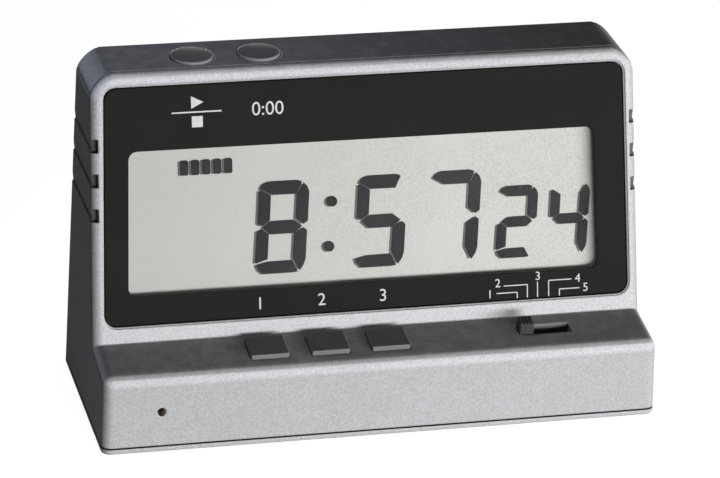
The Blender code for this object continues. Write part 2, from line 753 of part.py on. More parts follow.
def rear_blank():
    """Rear shell without its holes: hollowed, open at the base and grooved at the sides."""
    shell = add_part("rear_shell", housing_blank(), Matrix.Identity(4), "silver_case")
    seam = add_cutter("seam_zone", front_zone(FRONT_SKIN + GAP), Matrix.Identity(4))
    combine(shell, seam, "DIFFERENCE")
    hollow = add_cutter(
        "rear_hollow",
        inner_solid(WALL, [-OVERSHOOT, -OVERSHOOT, -OVERSHOOT, WALL, WALL, -OVERSHOOT]),
        Matrix.Identity(4),
    )
    keep_bay_walls(hollow)
    keep_rear_posts(hollow)
    combine(shell, hollow, "DIFFERENCE")
    base_cut = height_slab(-OVERSHOOT * 5, FOOT_STAND + BASE_THICKNESS + GAP)
    combine(shell, add_cutter("rear_base_cut", base_cut, Matrix.Identity(4)), "DIFFERENCE")
    combine(shell, add_cutter("side_grooves", groove_cutter(), Matrix.Identity(4)), "DIFFERENCE")
    return shell


def cut_button_holes(shell):
    """Holes in the top for the two round buttons."""
    holes = bmesh.new()
    for x in ROUND_BUTTON_X.values():
        hole = rod_mesh(ROUND_BUTTON_RADIUS + GAP, -WALL - OVERSHOOT, OVERSHOOT, SEGMENTS_LARGE)
        append_mesh(holes, hole, Matrix.Translation((x, ROUND_BUTTON_BACK, 0.0)))
    combine(shell, add_cutter("round_button_holes", holes, TOP_FRAME), "DIFFERENCE")


def cut_battery_bay(shell):
    """Battery bay, rebate for its door, scoop for a thumb and sockets for the door's pins."""
    middle_up = (BAY_TOP + BAY_BOTTOM) / 2.0
    cavity_size = (2 * BAY_HALF_WIDTH, BAY_DEPTH + OVERSHOOT, BAY_TOP - BAY_BOTTOM)
    cavity_centre = world(0.0, HOUSING_DEPTH - BAY_DEPTH + cavity_size[1] / 2.0, middle_up)
    cavity = box_mesh(cavity_size, cavity_centre)
    door_size = (
        2 * (BAY_HALF_WIDTH + DOOR_LEDGE + GAP), DOOR_THICKNESS + GAP + OVERSHOOT,
        BAY_TOP - BAY_BOTTOM + 2 * (DOOR_LEDGE + GAP),
    )
    door_centre = world(0.0, HOUSING_DEPTH - DOOR_THICKNESS - GAP + door_size[1] / 2.0, middle_up)
    rebate = box_mesh(door_size, door_centre)
    combine(shell, add_cutter("bay_cavity", cavity, Matrix.Identity(4)), "DIFFERENCE")
    combine(shell, add_cutter("door_rebate", rebate, Matrix.Identity(4)), "DIFFERENCE")
    thumb = rounded_box_mesh((14.0 * MM, 2.6 * MM, 7.0 * MM), 1.2 * MM, 3)
    thumb_place = Matrix.Translation(world(0.0, HOUSING_DEPTH, BAY_TOP + DOOR_LEDGE + 1.2 * MM))
    combine(shell, add_cutter("thumb_scoop", thumb, thumb_place), "DIFFERENCE")
    pins = bmesh.new()
    for side in (-1.0, 1.0):
        turn = Matrix.Rotation(math.pi / 2.0, 4, "Y")
        reach = side * (BAY_HALF_WIDTH + DOOR_LEDGE + 1.0 * MM)
        socket = rod_mesh(DOOR_THICKNESS / 2.0 - 0.2 * MM + GAP, -1.6 * MM, 1.6 * MM, 12)
        place = Matrix.Translation(door_axis() + Vector((reach, 0.0, 0.0))) @ turn
        append_mesh(pins, socket, place)
    combine(shell, add_cutter("door_pin_sockets", pins, Matrix.Identity(4)), "DIFFERENCE")


def drill_rear_shell(shell):
    """Pilot holes for the base screws and counterbored holes for the deep screws in the back."""
    drills = bmesh.new()
    for side in (-1.0, 1.0):
        start = world(side * BASE_SCREW_X, BASE_SCREW_BACK[1], 0.0)
        pilot = rod_mesh(SCREW_RADIUS + GAP, -OVERSHOOT, 12.0 * MM, 12)
        append_mesh(drills, pilot, Matrix.Translation(start))
        start = world(side * REAR_SCREW_X, 0.0, REAR_SCREW_UP)
        through = level_rod(SCREW_RADIUS + GAP, 40.0 * MM, HOUSING_DEPTH, 12)
        append_mesh(drills, through, Matrix.Translation(start))
    combine(shell, add_cutter("rear_drills", drills, Matrix.Identity(4)), "DIFFERENCE")
    counterbores = bmesh.new()
    for side in (-1.0, 1.0):
        start = world(side * REAR_SCREW_X, 0.0, REAR_SCREW_UP)
        wide = level_rod(SCREW_HEAD_RADIUS + 2 * GAP, 47.4 * MM, HOUSING_DEPTH + OVERSHOOT)
        append_mesh(counterbores, wide, Matrix.Translation(start))
    combine(shell, add_cutter("rear_counterbores", counterbores, Matrix.Identity(4)), "DIFFERENCE")


def build_rear_shell():
    """Rear shell: top, sides and back, with button holes, side grooves and the battery bay."""
    shell = rear_blank()
    cut_button_holes(shell)
    cut_battery_bay(shell)
    drill_rear_shell(shell)
    return shell


def door_axis():
    """Middle of the battery door's hinge, inside its rounded lower edge."""
    up = BAY_BOTTOM - DOOR_LEDGE + DOOR_THICKNESS / 2.0
    return world(0.0, HOUSING_DEPTH - DOOR_THICKNESS / 2.0, up)


def build_base_plate():
    """Base plate with a locating rim, seats for the feet and sunk screw holes."""
    plate = add_part("base_plate", housing_blank(), Matrix.Identity(4), "silver_case")
    slab = height_slab(-OVERSHOOT, FOOT_STAND + BASE_THICKNESS)
    combine(plate, add_cutter("base_slab", slab, Matrix.Identity(4)), "INTERSECT")
    rim_top = FOOT_STAND + BASE_THICKNESS + BASE_RIM_HEIGHT
    side = WALL + 2 * LIP_THICKNESS
    front = FRONT_WALL + GAP
    rear = WALL + GAP
    rim = 1.2 * MM
    outer = inner_solid(side, [front, 0.0, 0.0, 0.0, rear, 0.4 * MM])
    inner = inner_solid(side + rim, [front + rim, 0.0, 0.0, 0.0, rear + rim, 0.4 * MM])
    rim_outer = add_cutter("rim_outer", outer, Matrix.Identity(4))
    rim_inner = add_cutter("rim_inner", inner, Matrix.Identity(4))
    rim_slab = add_cutter("rim_slab", height_slab(0.0, rim_top), Matrix.Identity(4))
    combine(rim_outer, rim_slab, "INTERSECT")
    combine(plate, rim_outer, "UNION")
    floor = FOOT_STAND + BASE_THICKNESS
    rim_floor = add_cutter("rim_floor", height_slab(floor, rim_top + OVERSHOOT), Matrix.Identity(4))
    combine(rim_inner, rim_floor, "INTERSECT")
    combine(plate, rim_inner, "DIFFERENCE")

    clearances = bmesh.new()
    seats = bmesh.new()
    for back in BASE_SCREW_BACK:
        for side in (-1.0, 1.0):
            place = Matrix.Translation(world(side * BASE_SCREW_X, back, 0.0))
            above = rod_mesh(BOSS_RADIUS + GAP, BASE_THICKNESS, BASE_THICKNESS + 6.0 * MM)
            append_mesh(clearances, above, place)
            append_mesh(seats, rod_mesh(SCREW_RADIUS + GAP, -OVERSHOOT, 4.0 * MM, 12), place)
    for back in FOOT_BACK:
        for side in (-1.0, 1.0):
            place = Matrix.Translation(world(side * FOOT_X, back, 0.0))
            append_mesh(seats, rod_mesh(FOOT_RADIUS + GAP, -OVERSHOOT, FOOT_SEAT, 24), place)
    combine(plate, add_cutter("boss_clearances", clearances, Matrix.Identity(4)), "DIFFERENCE")
    combine(plate, add_cutter("foot_seats", seats, Matrix.Identity(4)), "DIFFERENCE")
    sinks = bmesh.new()
    for back in BASE_SCREW_BACK:
        for side in (-1.0, 1.0):
            place = Matrix.Translation(world(side * BASE_SCREW_X, back, 0.0))
            append_mesh(sinks, rod_mesh(SCREW_HEAD_RADIUS + GAP, -OVERSHOOT, 1.3 * MM, 16), place)
    combine(plate, add_cutter("screw_sinks", sinks, Matrix.Identity(4)), "DIFFERENCE")
    return plate


def build_feet():
    """Four rubber feet with a slightly domed tread."""
    names = {
        (FOOT_BACK[0], -1.0): "front_left_foot",
        (FOOT_BACK[0], 1.0): "front_right_foot",
        (FOOT_BACK[1], -1.0): "rear_left_foot",
        (FOOT_BACK[1], 1.0): "rear_right_foot",
    }
    top = FOOT_SEAT - GAP
    profile = [
        (0.0, top),
        (FOOT_RADIUS, top),
        (FOOT_RADIUS, -FOOT_STAND + 0.4 * MM),
        (FOOT_RADIUS - 0.4 * MM, -FOOT_STAND),
        (0.0, -FOOT_STAND),
    ]
    for (back, side), name in names.items():
        place = Matrix.Translation(world(side * FOOT_X, back, 0.0))
        turned_part(name, profile, place, "black_rubber", 24)


def build_window_panel():
    """Window panel: one flat sheet in the recess of the face."""
    outline = window_outline(0.0, WINDOW_CORNER)
    back = -WINDOW_SETBACK - WINDOW_THICKNESS
    bm = plate_mesh([outline], back, -WINDOW_SETBACK)
    add_part("window_panel", bm, FACE_FRAME, "window_black")


def display_place(depth):
    """Frame at the middle of the display, at a depth below the face."""
    return FACE_FRAME @ Matrix.Translation((DISPLAY_CENTRE_X, DISPLAY_CENTRE_ALONG, -depth))


def build_display():
    """Display glass, reflector, holder and contact strips, clamped by the main board."""
    front = FRONT_WALL + GAP
    glass = plate_mesh([rectangle(*GLASS_SIZE)], -GLASS_THICKNESS, 0.0)
    add_part("display_glass", glass, display_place(front), "display_glass")
    behind = front + GLASS_THICKNESS + GAP
    sheet = (GLASS_SIZE[0], GLASS_SIZE[1] - 7.0 * MM)
    film = plate_mesh([rectangle(*sheet)], -REFLECTOR_THICKNESS, 0.0)
    add_part("display_reflector", film, display_place(behind), "reflector_film")

    pocket = rectangle(GLASS_SIZE[0] + 2 * GAP, GLASS_SIZE[1] + 2 * GAP)
    outer = rounded_outline(rectangle(*HOLDER_SIZE), 1.5 * MM, 3)
    frame = plate_mesh([outer], -HOLDER_DEPTH, 0.0)
    holder = add_part("display_holder", frame, display_place(front), "black_plastic")
    pocket_cut = plate_mesh([pocket], -GLASS_THICKNESS - 2 * GAP, OVERSHOOT)
    combine(holder, add_cutter("glass_pocket", pocket_cut, display_place(front)), "DIFFERENCE")
    inner = rectangle(GLASS_SIZE[0] - 4.0 * MM, GLASS_SIZE[1] - 0.8 * MM)
    through = plate_mesh([inner], -HOLDER_DEPTH - OVERSHOOT, OVERSHOOT)
    combine(holder, add_cutter("holder_window", through, display_place(front)), "DIFFERENCE")
    drills = bmesh.new()
    for x, along in board_screw_places():
        drill = rod_mesh(SCREW_RADIUS - 0.3 * MM + GAP, -HOLDER_DEPTH - OVERSHOOT, -1.5 * MM, 12)
        append_mesh(drills, drill, Matrix.Translation((x, along, 0.0)))
    combine(holder, add_cutter("holder_pilots", drills, display_place(front)), "DIFFERENCE")

    strip_front = front + GLASS_THICKNESS + GAP
    strip_back = front + HOLDER_DEPTH
    for name, side in (("upper_contact_strip", 1.0), ("lower_contact_strip", -1.0)):
        along = side * (GLASS_SIZE[1] / 2.0 - 1.7 * MM)
        size = (STRIP_SIZE[0], STRIP_SIZE[1], strip_back - strip_front)
        bm = rounded_box_mesh(size, 0.3 * MM, 1, (0.0, along, -size[2] / 2.0))
        add_part(name, bm, display_place(strip_front), "grey_rubber")


def board_screw_places():
    """Where the four screws hold the main board, about the display's middle."""
    x = HOLDER_SIZE[0] / 2.0 - 15.0 * MM
    along = HOLDER_SIZE[1] / 2.0 - 2.7 * MM
    return [(sx * x, sy * along) for sx in (-1.0, 1.0) for sy in (-1.0, 1.0)]


def build_main_board():
    """Main circuit board with its controller, crystal, trimmer and screws."""
    depth = FRONT_WALL + GAP + HOLDER_DEPTH + GAP
    outline = rounded_outline(rectangle(*HOLDER_SIZE), 1.0 * MM, 2)
    holes = []
    for x, along in board_screw_places():
        radius = SCREW_RADIUS + 0.1 * MM
        ring = [
            (x + radius * math.cos(turn), along + radius * math.sin(turn))
            for turn in (2.0 * math.pi * step / 12 for step in range(12))
        ]
        holes.append(ring)
    board = plate_mesh([outline, *holes], -BOARD_THICKNESS, 0.0)
    add_part("main_board", board, display_place(depth), "board_green")

    back = depth + BOARD_THICKNESS + GAP
    lower = Matrix.Translation((18.0 * MM, 14.0 * MM, 0.0))
    flip = Matrix.Rotation(math.pi, 4, "X")
    dome = [(0.0, 1.6 * MM)]
    for step in range(1, 7):
        turn = math.radians(15.0 * step)
        dome.append((7.0 * MM * math.sin(turn), 0.2 * MM + 1.4 * MM * math.cos(turn)))
    dome += [(7.0 * MM, 0.0), (0.0, 0.0)]
    turned_part("controller_chip", dome, display_place(back) @ lower @ flip, "chip_resin", 24)
    crystal = rod_mesh(1.5 * MM, -4.0 * MM, 4.0 * MM, 12)
    turn = Matrix.Rotation(math.pi / 2.0, 4, "Y")
    place = display_place(back + 1.5 * MM) @ Matrix.Translation((36.0 * MM, 18.0 * MM, 0.0)) @ turn
    add_part("quartz_crystal", crystal, place, "bright_metal")
    can = rod_mesh(3.2 * MM, -2.4 * MM, 0.0, 16)
    place = display_place(back) @ Matrix.Translation((-8.0 * MM, 19.0 * MM, 0.0))
    add_part("trimmer_capacitor", can, place, "brass_disc")

    names = ("lower_left", "upper_left", "lower_right", "upper_right")
    for corner, (x, along) in zip(names, board_screw_places()):
        place = display_place(back) @ Matrix.Translation((x, along, 0.0)) @ flip
        screw(corner + "_board_screw", place, 2.0 * MM, 1.3 * MM, 0.9 * MM, 5.0 * MM)


def top_board_top():
    """Height of the top switch board's upper face below the top."""
    return -WALL - ROUND_STEM_LENGTH - PAD_THICKNESS - ROUND_BUTTON_TRAVEL - 2 * GAP


def build_round_buttons():
    """Round buttons with a domed cap, a stop flange and a stem that carries a contact pad."""
    radius = ROUND_BUTTON_RADIUS
    flange_top = -WALL - GAP
    stem_end = -WALL - ROUND_STEM_LENGTH
    edge = 0.5 * MM
    profile = [(0.0, ROUND_BUTTON_PROUD + ROUND_BUTTON_DOME)]
    for share in (0.35, 0.65, 0.9):
        fall = ROUND_BUTTON_DOME * (1.0 - share * share)
        profile.append(((radius - edge) * share, ROUND_BUTTON_PROUD + fall))
    profile += [
        (radius - edge, ROUND_BUTTON_PROUD),
        (radius - 0.15 * MM, ROUND_BUTTON_PROUD - 0.15 * MM),
        (radius, ROUND_BUTTON_PROUD - edge),
        (radius, flange_top),
        (radius + FLANGE_WIDTH, flange_top),
        (radius + FLANGE_WIDTH, flange_top - 1.0 * MM),
        (3.0 * MM, flange_top - 1.0 * MM),
        (3.0 * MM, stem_end),
        (0.0, stem_end),
    ]
    for name, x in ROUND_BUTTON_X.items():
        place = TOP_FRAME @ Matrix.Translation((x, ROUND_BUTTON_BACK, 0.0))
        turned_part(name, profile, place, "silver_key")
        pad = rod_mesh(2.4 * MM, stem_end - GAP - PAD_THICKNESS, stem_end - GAP, 16)
        add_part(name.replace("_button", "_contact_pad"), pad, place, "grey_rubber")
    board_top = top_board_top()
    middle = sum(ROUND_BUTTON_X.values()) / 2.0
    sides = rectangle(42.0 * MM, 14.0 * MM, (middle, ROUND_BUTTON_BACK + 1.0 * MM))
    outline = rounded_outline(sides, 1.0 * MM, 2)
    board = plate_mesh([outline], board_top - BOARD_THICKNESS, board_top)
    add_part("top_switch_board", board, TOP_FRAME, "board_green")


def key_mesh():
    """Setting key: a cap with rounded edges over a stop flange and a stem."""
    width, depth = KEY_SIZE
    cap_bottom = -FRONT_WALL - GAP
    cap = plate_mesh(
        [rounded_outline(rectangle(width, depth), 0.4 * MM, 2)], cap_bottom - 0.5 * MM, KEY_PROUD,
    )
    rim = [
        edge for edge in cap.edges
        if all(vert.co.z > KEY_PROUD - 1e-6 for vert in edge.verts) and edge.is_manifold
        and any(abs(face.normal.z) < 0.5 for face in edge.link_faces)
    ]
    bevel(cap, rim, 0.3 * MM, 2)
    return cap


def build_keys():
    """Three setting keys in the shelf, each with a flange, a stem and a contact pad."""
    width, depth = KEY_SIZE
    flange_top = -FRONT_WALL - GAP
    for name, x in KEY_X.items():
        place = SHELF_FRAME @ Matrix.Translation((x, KEY_CENTRE_BACK, 0.0))
        key = add_part(name, key_mesh(), place, "silver_key")
        flange = box_mesh(
            (width + 1.8 * MM, depth - 1.0 * MM, 1.0 * MM), (0.0, 0.0, flange_top - 0.5 * MM),
        )
        combine(key, add_cutter(name + "_flange", flange, place), "UNION")
        stem_length = KEY_STEM_DEPTH + flange_top
        stem = box_mesh((4.0 * MM, 4.0 * MM, stem_length + 0.6 * MM),
                        (0.0, 0.0, -KEY_STEM_DEPTH + (stem_length + 0.6 * MM) / 2.0))
        combine(key, add_cutter(name + "_stem", stem, place), "UNION")
        top = -KEY_STEM_DEPTH - GAP
        pad = rod_mesh(2.2 * MM, top - PAD_THICKNESS, top, 16)
        add_part(name.replace("_key", "_contact_pad"), pad, place, "grey_rubber")


def shelf_board_top():
    """Height of the shelf switch board's upper face below the shelf."""
    return -KEY_STEM_DEPTH - GAP - PAD_THICKNESS - KEY_TRAVEL - GAP


def build_shelf_board():
    """Switch board under the shelf, which the keys and the slider act on."""
    left, right = -42.0 * MM, 64.0 * MM
    near, far = 5.6 * MM, 17.6 * MM
    centre = ((left + right) / 2.0, (near + far) / 2.0)
    outline = rounded_outline(rectangle(right - left, far - near, centre), 1.0 * MM, 2)
    top = shelf_board_top()
    board = plate_mesh([outline], top - BOARD_THICKNESS, top)
    add_part("shelf_switch_board", board, SHELF_FRAME, "board_green")


def build_mode_slider():
    """Ribbed slide knob on a carrier under the shelf, with its wiper."""
    depth = SLOT_FRONT_BACK[1] - SLOT_FRONT_BACK[0] - 2 * GAP
    x = SLOT_LEFT + GAP + KNOB_WIDTH / 2.0
    place = SHELF_FRAME @ Matrix.Translation((x, sum(SLOT_FRONT_BACK) / 2.0, 0.0))
    bottom = -FRONT_WALL - GAP - 0.6 * MM
    bm = box_mesh((KNOB_WIDTH, depth, KNOB_PROUD - bottom), (0.0, 0.0, (KNOB_PROUD + bottom) / 2.0))
    upper = [edge for edge in bm.edges if all(vert.co.z > 0 for vert in edge.verts)]
    bevel(bm, upper, 0.3 * MM, 2)
    slider = add_part("mode_slider", bm, place, "silver_key")
    grooves = bmesh.new()
    pitch = KNOB_WIDTH / (KNOB_RIBS + 1)
    for index in range(KNOB_RIBS):
        offset = (index - (KNOB_RIBS - 1) / 2.0) * pitch
        groove = box_mesh((0.45 * MM, depth + OVERSHOOT, 0.9 * MM), (offset, 0.0, KNOB_PROUD))
        append_mesh(grooves, groove)
    combine(slider, add_cutter("knob_grooves", grooves, place), "DIFFERENCE")
    carrier_middle = -FRONT_WALL - GAP - 0.8 * MM
    carrier = box_mesh((9.0 * MM, 8.4 * MM, 1.6 * MM), (0.6 * MM, 0.0, carrier_middle))
    combine(slider, add_cutter("slider_carrier", carrier, place), "UNION")

    wiper_top = -FRONT_WALL - GAP - 1.6 * MM - GAP
    arch = [
        (-3.2, -3.0), (-2.2, -0.35), (2.2, -0.35), (3.2, -3.0),
        (2.8, -3.0), (1.9, -0.7), (-1.9, -0.7), (-2.8, -3.0),
    ]
    outline = [(px * MM, wiper_top + (py + 0.35) * MM) for px, py in reversed(arch)]
    turn = Matrix(((1, 0, 0, 0), (0, 0, -1, 0), (0, 1, 0, 0), (0, 0, 0, 1)))
    wiper = plate_mesh([outline], -1.5 * MM, 1.5 * MM, turn)
    add_part("slider_wiper", wiper, place, "brass_disc")


def build_sounder():
    """Round sounder disc in a cup behind the hole in the front panel."""
    place = PANEL_FRAME @ Matrix.Translation((SOUND_HOLE_X, SOUND_HOLE_UP, 0.0))
    front = -FRONT_WALL - GAP
    disc = rod_mesh(SOUNDER_RADIUS - GAP, front - 1.3 * MM, front - 1.0 * MM, 24)
    add_part("sounder_disc", disc, place, "brass_disc")
    cup_profile = [
        (0.0, front - 2.6 * MM),
        (SOUNDER_RADIUS - 1.0 * MM, front - 2.6 * MM),
        (SOUNDER_RADIUS - 1.0 * MM, front - 1.6 * MM),
        (SOUNDER_RADIUS, front - 1.6 * MM),
        (SOUNDER_RADIUS, front),
        (SOUNDER_RADIUS + 1.0 * MM, front),
        (SOUNDER_RADIUS + 1.0 * MM, front - 3.4 * MM),
        (0.0, front - 3.4 * MM),
    ]
    turned_part("sounder_cup", cup_profile, place, "black_plastic", 24)


def build_battery_door():
    """Battery door with a rounded lower edge, hinge pins and a grooved grip at the top."""
    half = BAY_HALF_WIDTH + DOOR_LEDGE
    height = BAY_TOP - BAY_BOTTOM + 2 * DOOR_LEDGE
    place = Matrix.Translation(door_axis())
    thick = DOOR_THICKNESS
    rise = height - thick / 2.0
    side = [(-thick / 2.0, 0.0)]
    side += [
        (thick / 2.0 * math.cos(turn), thick / 2.0 * math.sin(turn))
        for turn in (math.pi + math.pi * step / 8 for step in range(1, 9))
    ]
    side += [(thick / 2.0, rise), (-thick / 2.0, rise)]
    turn = Matrix(((0, 0, 1, 0), (1, 0, 0, 0), (0, 1, 0, 0), (0, 0, 0, 1)))
    bm = plate_mesh([side], -half, half, turn)
    door = add_part("battery_door", bm, place, "silver_case")
    pins = bmesh.new()
    for sign in (-1.0, 1.0):
        level = Matrix.Rotation(math.pi / 2.0, 4, "Y")
        pin = rod_mesh(thick / 2.0 - 0.2 * MM, -1.5 * MM, 1.5 * MM, 12)
        append_mesh(pins, pin, Matrix.Translation((sign * (half - 0.1 * MM), 0.0, 0.0)) @ level)
    combine(door, add_cutter("door_pins", pins, place), "UNION")
    grooves = bmesh.new()
    for index in range(6):
        groove = box_mesh((16.0 * MM, 1.0 * MM, 0.7 * MM))
        up = rise - 2.0 * MM - index * 1.5 * MM
        append_mesh(grooves, groove, Matrix.Translation((0.0, thick / 2.0, up)))
    combine(door, add_cutter("door_grip_grooves", grooves, place), "DIFFERENCE")


def build_cells():
    """Two round cells, one above the other, with the contacts at their ends."""
    back = HOUSING_DEPTH - DOOR_THICKNESS - GAP - 0.3 * MM - CELL_RADIUS
    middle = (BAY_TOP + BAY_BOTTOM) / 2.0
    nub = 1.6 * MM
    body = CELL_LENGTH - nub
    profile = [
        (0.0, CELL_LENGTH),
        (2.4 * MM, CELL_LENGTH),
        (2.6 * MM, CELL_LENGTH - nub + 0.2 * MM),
        (3.2 * MM, body),
        (CELL_RADIUS - 0.6 * MM, body),
        (CELL_RADIUS, body - 0.6 * MM),
        (CELL_RADIUS, 0.5 * MM),
        (CELL_RADIUS - 0.5 * MM, 0.0),
        (0.0, 0.0),
    ]
    end_room = BAY_HALF_WIDTH - GAP
    plate_thickness = 0.5 * MM
    tip = end_room - plate_thickness - GAP
    for name, sign in (("upper", 1.0), ("lower", -1.0)):
        up = middle + sign * CELL_PITCH / 2.0
        turn = Matrix.Rotation(sign * math.pi / 2.0, 4, "Y")
        start = world(sign * (tip - CELL_LENGTH), back, up)
        turned_part(name + "_cell", profile, Matrix.Translation(start) @ turn, "cell_jacket", 24)
        plate = rounded_box_mesh((plate_thickness, 10.0 * MM, 10.0 * MM), 0.1 * MM, 1)
        place = Matrix.Translation(world(sign * (end_room - plate_thickness / 2.0), back, up))
        add_part(name + "_contact_plate", plate, place, "bright_metal")
        spring_place = Matrix.Translation(world(-sign * end_room, back, up)) @ turn
        length = 2.0 * end_room - plate_thickness - CELL_LENGTH - 2 * GAP
        add_part(name + "_contact_spring", spring_mesh(length), spring_place, "bright_metal")


def spring_mesh(length, turns=3.5, wire=0.32 * MM):
    """Conical contact spring with its wide end at zero height."""
    points = []
    steps = int(turns * 10)
    for step in range(steps + 1):
        share = step / steps
        angle = 2.0 * math.pi * turns * share
        radius = 4.4 * MM - 2.2 * MM * share
        height = wire + (length - 2.0 * wire - GAP) * share
        points.append((radius * math.cos(angle), radius * math.sin(angle), height))
    return tube_mesh(points, wire, 0)


def smooth_route(points, steps=6):
    """Points along a smooth curve through a route's own points."""
    route = []
    padded = [points[0], *points, points[-1]]
    for index in range(1, len(padded) - 2):
        a, b, c, d = (Vector(point) for point in padded[index - 1:index + 3])
        for step in range(steps):
            t = step / steps
            square, cube = t * t, t * t * t
            place = (b * 2.0 + (c - a) * t + (a * 2.0 - b * 5.0 + c * 4.0 - d) * square
                     + (b * 3.0 - a - c * 3.0 + d) * cube) * 0.5
            route.append(place)
    route.append(Vector(points[-1]))
    return route


def build_wiring():
    """Battery leads and the two flat ribbons that join the boards."""
    back_of_board = display_place(FRONT_WALL + GAP + HOLDER_DEPTH + GAP + BOARD_THICKNESS + GAP)
    bay_left = world(-BAY_HALF_WIDTH - BAY_WALL - GAP - 0.6 * MM, 50.0 * MM, 24.0 * MM)
    leads = (("battery_lead_black", "black_wire", 0.0), ("battery_lead_red", "red_wire", 4.0 * MM))
    for name, finish, shift in leads:
        end = back_of_board @ Vector((-44.0 * MM - shift, -18.0 * MM, -0.6 * MM))
        start = bay_left + Vector((0.0, 0.0, 2.0 * shift))
        route = [
            start,
            start + Vector((-3.0 * MM, -1.0 * MM, 0.5 * MM)),
            (start + end) / 2.0 + Vector((-2.0 * MM - shift, 1.5 * MM, 0.0)),
            end + Vector((0.0, 3.0 * MM, 0.5 * MM)),
            end,
        ]
        add_part(name, tube_mesh(smooth_route(route), 0.55 * MM, 1), Matrix.Identity(4), finish)

    shelf_start = SHELF_FRAME @ Vector((0.0, 18.0 * MM, shelf_board_top() - BOARD_THICKNESS / 2.0))
    board_foot = display_place(FRONT_WALL + GAP + HOLDER_DEPTH + GAP + BOARD_THICKNESS / 2.0)
    board_end = board_foot @ Vector((0.0, -HOLDER_SIZE[1] / 2.0 - GAP, 0.0))
    add_ribbon("shelf_ribbon", shelf_start, board_end, 20.0 * MM, 16.0 * MM, 4.0 * MM)

    under_board = top_board_top() - BOARD_THICKNESS - 2 * GAP
    top_start = TOP_FRAME @ Vector((0.0, ROUND_BUTTON_BACK, under_board))
    board_head = board_foot @ Vector((0.0, HOLDER_SIZE[1] / 2.0 + GAP, 0.0))
    add_ribbon("top_ribbon", board_head, top_start, -39.0 * MM, 12.0 * MM, 1.5 * MM)


def add_ribbon(name, start, end, x, width, bow):
    """Flat ribbon of a given width between two board edges, bowed to the rear."""
    half = 0.25 * MM
    centre = []
    for step in range(9):
        share = step / 8
        y = start.y + (end.y - start.y) * share + bow * math.sin(math.pi * share)
        z = start.z + (end.z - start.z) * share
        centre.append(Vector((y, z)))
    upper, lower = [], []
    for index, point in enumerate(centre):
        before = centre[max(index - 1, 0)]
        after = centre[min(index + 1, len(centre) - 1)]
        along = (after - before).normalized()
        normal = Vector((-along.y, along.x))
        upper.append(tuple(point + normal * half))
        lower.append(tuple(point - normal * half))
    outline = lower + upper[::-1]
    turn = Matrix(((0, 0, 1, 0), (1, 0, 0, 0), (0, 1, 0, 0), (0, 0, 0, 1)))
    bm = plate_mesh([outline], x - width / 2.0, x + width / 2.0, turn)
    add_part(name, bm, Matrix.Identity(4), "grey_ribbon")


def screw(name, place, head_radius, head_height, shaft_radius, length):
    """Pan head screw: its head stands on the place's plane and its shaft runs down."""
    profile = [
        (0.0, head_height),
        (head_radius - 0.4 * MM, head_height),
        (head_radius, head_height - 0.5 * MM),
        (head_radius, 0.0),
        (shaft_radius, 0.0),
        (shaft_radius, -length + shaft_radius),
        (0.3 * shaft_radius, -length),
        (0.0, -length),
    ]
    return turned_part(name, profile, place, "bright_metal", 12)


def build_case_screws():
    """Four screws up through the base and two deep in the back."""
    upward = Matrix.Rotation(math.pi, 4, "X")
    forward = Matrix.Rotation(-math.pi / 2.0, 4, "X")
    for where, back in zip(("front", "rear"), BASE_SCREW_BACK):
        for side, sign in (("left", -1.0), ("right", 1.0)):
            place = Matrix.Translation(world(sign * BASE_SCREW_X, back, 1.0 * MM)) @ upward
            screw(f"{where}_{side}_base_screw", place, SCREW_HEAD_RADIUS, 1.1 * MM, SCREW_RADIUS, 8.0 * MM)
    for side, sign in (("left", -1.0), ("right", 1.0)):
        place = Matrix.Translation(world(sign * REAR_SCREW_X, 47.7 * MM, REAR_SCREW_UP)) @ forward
        screw(f"{side}_back_screw", place, SCREW_HEAD_RADIUS, 1.5 * MM, SCREW_RADIUS, 6.7 * MM)


def main():
    """Build every sub-part of the timer."""
    clear_scene()
    build_front_case()
    build_rear_shell()
    build_base_plate()
    build_feet()
    build_window_panel()
    build_display()
    build_main_board()
    build_round_buttons()
    build_keys()
    build_shelf_board()
    build_mode_slider()
    build_sounder()
    build_battery_door()
    build_cells()
    build_wiring()
    build_case_screws()


main()
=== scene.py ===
"""Desktop digital timer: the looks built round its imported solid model.

Lengths in the classes are millimetres in the solid model's frame. Those of the finishes and the
lamps are metres, as Blender takes them. The display faces -Y and leans back.
"""
import json
import logging
import math
from dataclasses import dataclass
from enum import Enum

import bmesh
import bpy
from mathutils import Matrix, Vector

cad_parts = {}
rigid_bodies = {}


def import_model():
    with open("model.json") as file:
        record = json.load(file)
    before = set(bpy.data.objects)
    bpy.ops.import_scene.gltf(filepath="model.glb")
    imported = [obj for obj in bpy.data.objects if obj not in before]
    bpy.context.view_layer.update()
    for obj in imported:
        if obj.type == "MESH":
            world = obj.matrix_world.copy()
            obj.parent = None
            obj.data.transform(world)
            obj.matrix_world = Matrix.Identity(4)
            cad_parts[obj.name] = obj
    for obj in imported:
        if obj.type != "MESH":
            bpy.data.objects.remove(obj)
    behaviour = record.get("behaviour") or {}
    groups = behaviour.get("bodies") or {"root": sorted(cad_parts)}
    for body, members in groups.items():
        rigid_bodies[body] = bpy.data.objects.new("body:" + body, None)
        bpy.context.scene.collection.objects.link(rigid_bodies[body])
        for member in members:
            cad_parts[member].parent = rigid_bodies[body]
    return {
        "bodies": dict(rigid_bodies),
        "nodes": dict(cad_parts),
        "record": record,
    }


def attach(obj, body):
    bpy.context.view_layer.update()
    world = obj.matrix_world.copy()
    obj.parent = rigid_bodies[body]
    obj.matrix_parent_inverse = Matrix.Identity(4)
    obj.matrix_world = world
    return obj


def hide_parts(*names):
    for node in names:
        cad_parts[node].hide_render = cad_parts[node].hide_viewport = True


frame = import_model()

MM = 0.001
WHITE = (1.0, 1.0, 1.0)
Pair = tuple[float, float]
Triple = tuple[float, float, float]
